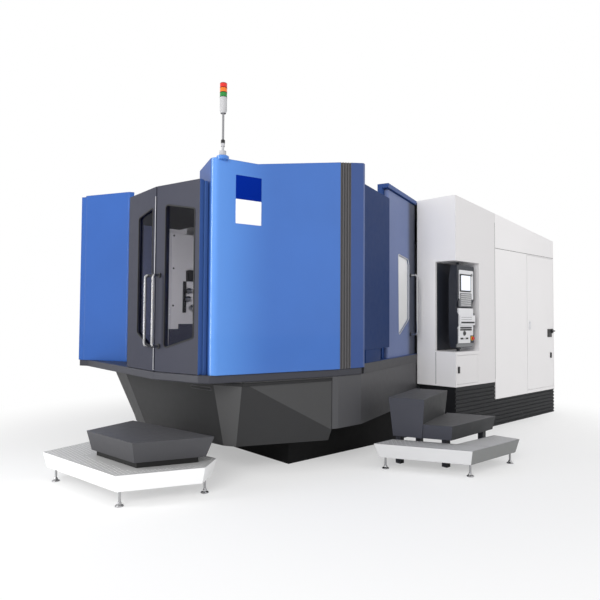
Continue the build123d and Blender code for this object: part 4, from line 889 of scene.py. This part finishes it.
# Pendant panel: a white plate with the screen, a grey keypad and a white lower panel of switches.
# The keys are moulded caps in rows; the screen is glass in a dark bezel.
front = frame_on((1.248, 0.0), out=TO_RIGHT)
switch_face = frame_on((1.268, 0.0), out=TO_RIGHT)
lip = frame_on((1.2125, 0.862, 1.144), out=TO_RIGHT)
screen_glass = banded("screen_glass", ((1.0, (0.80, 0.84, 0.90)),), 0.12, glow=0.35)
key_grey = moulded("key_grey", (0.20, 0.205, 0.215), 0.45)
key_light = moulded("key_light", (0.62, 0.62, 0.63), 0.45)
key_black = moulded("key_black", (0.016, 0.016, 0.017), 0.4)


def key_block(face, ys, zs, size):
    """Rows and columns of one key cap."""
    cap = pad(face, (0.0, 0.0), size, corner=0.0018, roll=0.0012, steps=2)
    at = np.stack(np.meshgrid(ys, zs, indexing="ij"), -1).reshape(-1, 2)
    return copies(cap, at[:, :1] * face[1] + at[:, 1:] * face[2])


SQUARE_KEY, LOW_KEYS_Z = (0.022, 0.022, 0.013), [1.232]
bezel = pad(front, (0.833, 1.957), (0.262, 0.232, 0.006), corner=0.008, roll=0.002)
screen = pad(front, (0.838, 1.957), (0.222, 0.196, 0.0075), corner=0.004)
soft_keys = key_block(front, [0.7155], np.linspace(1.878, 2.036, 8), (0.013, 0.012, 0.011))
round_cover = turned(front, (0.985, 2.07), [(0.018, 0), (0.018, 0.006), (0.013, 0.009)])
keypad = pad(front, (0.842, 1.735), (0.270, 0.180, 0.030), corner=0.008, roll=0.003, base=-0.024)
typed_y, typed_z = np.linspace(0.735, 0.945, 9), np.linspace(1.668, 1.803, 6)
typed = key_block(front, typed_y, typed_z, (0.0175, 0.016, 0.010))
BLOCK = {"corner": 0.010, "roll": 0.004, "base": -0.020}
lower_panel = joined(
    pad(front, (0.848, 1.447), (0.345, 0.358, 0.024), **BLOCK),
    pad(front, (0.812, 1.220), (0.273, 0.100, 0.024), **BLOCK),
)
marks_y = np.linspace(0.715, 0.945, 12)
small_marks = key_block(switch_face, marks_y, (1.508, 1.480), (0.010, 0.007, 0.003))
switch_keys = joined(
    key_block(switch_face, np.linspace(0.715, 1.005, 10), (1.440,), (0.020, 0.020, 0.009)),
    key_block(front, np.linspace(0.715, 0.960, 9), (1.372, 1.345), (0.019, 0.019, 0.012)),
    key_block(front, [0.722, 0.752, 0.842, 0.872], LOW_KEYS_Z, SQUARE_KEY),
)
light_keys = key_block(front, [0.782, 0.812], LOW_KEYS_Z, SQUARE_KEY)
knob_ring = turned(front, (0.802, 1.300), [(0.034, 0.0), (0.034, 0.006), (0.029, 0.008)], 40)
stop_ring = turned(front, (0.992, 1.230), [(0.030, 0.0), (0.030, 0.006), (0.024, 0.007)], 40)
pendant_lip = pad(lip, (0, 0), (0.404, 0.050, 0.024), corner=0.010, roll=0.006)
for name, shape, finish in (
    ("screen_bezel", bezel, key_black),
    ("screen", screen, screen_glass),
    ("soft_keys", soft_keys, key_grey),
    ("round_cover", round_cover, key_grey),
    ("keypad", keypad, key_grey),
    ("keypad_keys", typed, key_light),
    ("lower_panel", lower_panel, panel_white),
    ("small_marks", small_marks, key_grey),
    ("switch_keys", switch_keys, key_black),
    ("light_keys", light_keys, key_light),
    ("knob_ring", knob_ring, key_grey),
    ("stop_ring", stop_ring, yellow),
    ("pendant_lip", pendant_lip, key_grey),
):
    lay(name, shape, finish, "pendant")


# Cabinet fittings: moulded black latches, the plate of the main switch and the doors' joints.
# The latches and the plate are screwed through the sheet; a joint is a narrow dark gap.
box_face = frame_on((1.253, 0.0), out=TO_RIGHT)
box_front = frame_on((0.958, 0.574), out=(0.0880, -0.9961, 0.0))
seam_black = moulded("seam_black", (0.03, 0.03, 0.032), 0.7)
SEAM_DEPTH, SEAM = 0.0006, {"corner": 0.0015, "roll": 0.0003}
LATCH = {"corner": 0.006, "roll": 0.003}
hatch_latch = pad(box_face, (0.659, 0.830), (0.030, 0.085, 0.016), **LATCH)
cabinet_lock = pad(box_face, (3.341, 0.918), (0.036, 0.085, 0.016), **LATCH)
cabinet_seams = joined(
    pad(box_face, (2.53, 2.49), (1.87, 0.004, SEAM_DEPTH), **SEAM),
    pad(box_face, (1.591, 1.75), (0.005, 2.2, SEAM_DEPTH), **SEAM),
)
front_seam = pad(box_front, (0.010, 0.84), (0.006, 0.42, SEAM_DEPTH), **SEAM)
switch_plate = pad(box_face, (3.310, 1.272), (0.150, 0.130, 0.008), corner=0.008, roll=0.004)
lay("hatch_latch", hatch_latch, black_plastic, "access_hatch")
lay("cabinet_lock", cabinet_lock, black_plastic, "cabinet_door")
lay("cabinet_seams", cabinet_seams, seam_black)
lay("box_front_seam", front_seam, seam_black)
lay("switch_plate", switch_plate, black_plastic, "cabinet_door")


# Platform tread: raised lozenges rolled into the sheet, laid in turns at right angles.
# They stop short of the tray's edges and of the step box that stands on it.
TRAY_TOP, GRID, EDGE_MARGIN, STEP_MARGIN = 0.250, 0.030, 0.022, 0.012
LONG, WIDE, RAISED, SUNK, TOP_SHARE = 0.021, 0.0075, 0.0016, 0.0005, 0.55


def clearance(polygon, places):
    """How far places lie inside a convex polygon: the least distance to its edges."""
    polygon = np.asarray(polygon, float)
    edge = np.roll(polygon, -1, 0) - polygon
    normal = np.stack([-edge[:, 1], edge[:, 0]], -1) / np.linalg.norm(edge, axis=1)[:, None]
    sign = np.sign(((polygon.mean(0) - polygon) * normal).sum(1))
    return (((places[:, None] - polygon) * normal).sum(-1) * sign).min(1)


def lozenges(outline, keep_off=None):
    """Lozenges on a square grid inside a convex outline, each a low frustum of a rhombus.

    Neighbours alternate between +45 and -45 degrees: a = pi / 4 (-1)^(i + j).
    """
    low, top = np.min(outline, 0), np.max(outline, 0)
    columns, rows = np.arange(low[0], top[0], GRID), np.arange(low[1], top[1], GRID)
    i, j = np.meshgrid(np.arange(len(columns)), np.arange(len(rows)), indexing="ij")
    middles = np.stack([columns[i.ravel()], rows[j.ravel()]], -1)
    odd = ((i + j).ravel() % 2) * 2 - 1
    keep = clearance(outline, middles) > EDGE_MARGIN
    if keep_off is not None:
        keep &= clearance(keep_off, middles) < -STEP_MARGIN
    middles, angle = middles[keep], np.pi / 4 * odd[keep]
    rhomb = np.array([[LONG, 0], [0, WIDE], [-LONG, 0], [0, -WIDE]]) / 2
    flat = np.concatenate([rhomb, rhomb * TOP_SHARE])
    cosine, sine = np.cos(angle), np.sin(angle)
    turn = np.stack([cosine, -sine, sine, cosine], -1).reshape(-1, 2, 2)
    plan = np.einsum("kab,nb->kna", turn, flat) + middles[:, None]
    levels = np.repeat([TRAY_TOP - SUNK, TRAY_TOP + RAISED], 4)
    rise = np.broadcast_to(levels[None, :, None], (*plan.shape[:2], 1))
    points = np.concatenate([plan, rise], -1).reshape(-1, 3)
    sides = [[0, 1, 5, 4], [1, 2, 6, 5], [2, 3, 7, 6], [3, 0, 4, 7]]
    quads = np.array([[3, 2, 1, 0], [4, 5, 6, 7], *sides])
    start = (np.arange(len(middles)) * 8)[:, None, None]
    return points, [(quads[None] + start).reshape(-1, 4)]


FRONT_TRAY = [(-0.130, -3.950), (1.020, -3.760), (1.260, -3.100), (1.070, -2.872), (-0.389, -3.113)]
FRONT_STEP = [(0.250, -3.700), (0.970, -3.600), (1.183, -2.967), (0.058, -3.181)]
SIDE_LEFT = [(1.585, -1.380), (2.390, -0.920), (2.4006, -0.620), (2.128, -0.767), (1.580, -1.080)]
SIDE_RIGHT = [(2.4006, -0.620), (2.420, -0.070), (2.151, -0.095), (2.1325, -0.640), (2.135, -0.763)]
pip_white = painted("pip_white", (0.84, 0.84, 0.84), 0.45, cloud=0.01)
lay("front_tread", lozenges(FRONT_TRAY, FRONT_STEP), pip_white)
lay("side_tread", joined(lozenges(SIDE_LEFT), lozenges(SIDE_RIGHT)), pip_white)


# Platform feet: a dished steel disc, a ball socket, a threaded stud and a lock nut under the sheet.
# They are turned and bright-plated, and each stud screws into a flange under its tray.
FEET = [(-0.013, -3.869), (0.985, -3.705), (1.131, -3.024), (-0.300, -3.190)]
FEET += [(1.640, -1.268), (2.336, -0.872), (2.348, -0.134)]
RIDGES, RIDGE_TOP, RIDGE_DEPTH = 60, 0.0105, 0.0008
ridge = RIDGE_TOP - RIDGE_DEPTH * (np.arange(RIDGES) % 2)
stud = np.stack([ridge, np.linspace(0.036, 0.238, RIDGES)], -1)
disc = [(0.034, 0), (0.034, 0.006), (0.030, 0.010), (0.018, 0.016), (0.015, 0.030), (0.011, 0.036)]
nut_profile = [(0.0165, 0.120), (0.0175, 0.122), (0.0175, 0.134), (0.0165, 0.136)]
foot = turned(upward, (0, 0), np.concatenate([disc, stud, [(0.009, 0.2405)]]), 24)
nut = turned(upward, (0, 0), nut_profile, 6)
flange = turned(upward, (0, 0), [(0.020, 0.230), (0.020, 0.2415)], 24)
foot_places = [(x, y, 0.0) for x, y in FEET]
feet = lay("levelling_feet", copies(joined(foot, nut, flange), foot_places), chrome)
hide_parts("platform_feet")


# Setup station inside: a trim strip with screws on the wall, a sensor box, and dark kick plates.
# A soft lamp beside the door lights it, as the machine's own work lamp does.
pleat = frame_on((-1.300, 0.0), out=TO_RIGHT)
inside = frame_on((-1.344, 0.0), out=TO_RIGHT)
screw = [(0.013, 0), (0.013, 0.004), (0.009, 0.007), (0.003, 0.0075)]
screws = [turned(pleat, (-2.035, z), screw) for z in (1.638, 2.128, 2.560)]
nozzle = [(0.030, 0), (0.030, 0.030), (0.040, 0.034), (0.040, 0.060)]
nozzle += [(0.028, 0.066), (0.024, 0.100), (0.012, 0.108)]
NOZZLE_PLACES = ((-1.797, 1.838), (-1.811, 1.730), (-1.749, 1.616))
sensor_box = pad(inside, (-1.775, 2.041), (0.100, 0.150, 0.070), corner=0.010, roll=0.006)
sensor_rail = pad(inside, (-1.850, 1.756), (0.040, 0.420, 0.030), corner=0.008, roll=0.004)
kick_plates = joined(
    pad(inside, (-2.010, 1.165), (0.150, 0.330, 0.052), corner=0.004, roll=0.002),
    pad(inside, (-1.775, 1.198), (0.310, 0.396, 0.034), corner=0.004, roll=0.002),
)
lay("pleat_screws", joined(*screws), black_plastic)
lay("sensor_box", sensor_box, black_plastic)
lay("sensor_rail", sensor_rail, black_plastic)
lay("kick_plates", kick_plates, slate_paint)
lay("wash_nozzles", joined(*[turned(inside, at, nozzle) for at in NOZZLE_PLACES]), pale_metal)

LAMP_PLACE, LAMP_TARGET = (0.72, -2.25, 1.80), (-1.30, -2.00, 1.75)
work_lamp = soft_lamp("work_lamp", LAMP_PLACE, LAMP_TARGET, size=(0.5, 1.1), power=34)
work_lamp.visible_camera = work_lamp.visible_glossy = work_lamp.visible_transmission = False


# Left housing edge: a close-rolled corner bead down the free end of the front panel.
# It is the panel's own sheet, bent back on itself before painting.
def column(outline, low, top):
    """An upright prism on a plan outline."""
    ring = np.asarray(outline, float)
    levels = np.broadcast_to(np.array([low, top])[:, None, None], (2, len(ring), 1))
    return skinned(np.concatenate([np.broadcast_to(ring, (2, *ring.shape)), levels], -1))


BEAD_TIP, FRONT_WAY = np.array([-1.412, -3.212]), np.array([0.8872, 0.4614])
BEAD_LONG, BEAD_INSET, BEAD_BACK = 0.130, (0.0055, -0.0106), (0.012, 0.110)
BEAD_ROUND, BEAD_DROP = 0.010, 0.012
bead = [BEAD_TIP + BEAD_LONG * FRONT_WAY - BEAD_INSET, BEAD_TIP, BEAD_TIP + BEAD_BACK]
housing_low, housing_top = (corner[2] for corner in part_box("left_housing"))
edge_bead = column(rounded(bead, BEAD_ROUND), housing_low, housing_top - BEAD_DROP)
# The bead takes the left housing's azure, with its painted shade.
lay("left_edge_bead", edge_bead, left_shade_azure)


# Hull wing: the left facet of the hull runs on as a folded web under the skirt.
# It is the hull's own plate, painted with it, and lies in the plane of the facet.
FACET_POINT, FACET_OUT = (-0.650, -2.780, 0.350), np.array([-0.184, -0.920, -0.345])
WING_THICK = 0.016
wing = np.array([(-1.117, -2.845, 0.862), (-0.898, -2.724, 0.352), (-0.898, -2.888, 0.872)])
wing -= ((wing - FACET_POINT) @ FACET_OUT / (FACET_OUT @ FACET_OUT))[:, None] * FACET_OUT
lay("hull_wing", skinned(np.stack([wing, wing - WING_THICK * FACET_OUT])), hull_paint)


# Skirt shadow and slot: a black strip in the gap under the skirt, a painted shadow of its overhang,
# and a long cable slot with a pressed rim in the front facet of the hull, its opening a black pad
# as painted shade.
SKIRT = [(-0.899, -2.929), (-0.553, -2.998), (0.8835, -2.796), (1.150, -2.652), (1.314, -1.705)]
SHADOW_STRIP_Z = 0.878
shadow_strip_profile = [(-0.004, -0.015), (0.012, -0.011), (0.014, 0.010), (-0.004, 0.014)]
skirt_shadow_strip = swept([(x, y, SHADOW_STRIP_Z) for x, y in SKIRT], shadow_strip_profile, (0, 0, 1))
lay("skirt_shadow_strip", skirt_shadow_strip, rubber)
SLOT_MIDDLE = (0.692, -2.806, 0.823)
slot_out = np.array([0.133, -0.947, -0.289])
slot_out /= np.linalg.norm(slot_out)
slot_run = np.cross((0.0, 0.0, 1.0), slot_out)
slot_run /= np.linalg.norm(slot_run)
slot_face = (np.array(SLOT_MIDDLE), slot_run, np.cross(slot_out, slot_run), slot_out)
slot_rim = pad(slot_face, (0, 0), (0.300, 0.036, 0.004), corner=0.0175, roll=0.003, steps=6)
slot_shade = pad(slot_face, (0, 0), (0.286, 0.022, 0.0048), corner=0.0105, steps=6)
lay("slot_rim", slot_rim, casing_paint)
lay("slot_shade", slot_shade, rubber)


# Lower door pocket: a short blue panel under the pocket cover.
# It is the same painted sheet as the cover, and hangs on the same rail.
POCKET_DEPTH = 0.020
lower = set_back(wall, POCKET_DEPTH)
pocket_skirt = pad(lower, (0.30, 1.085), (0.44, 0.150, 0.018), corner=0.006, roll=0.004)
lay("pocket_skirt", pocket_skirt, navy_paint)


# The low and the high corner of the box round the shown pieces, without the floor.
low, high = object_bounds()
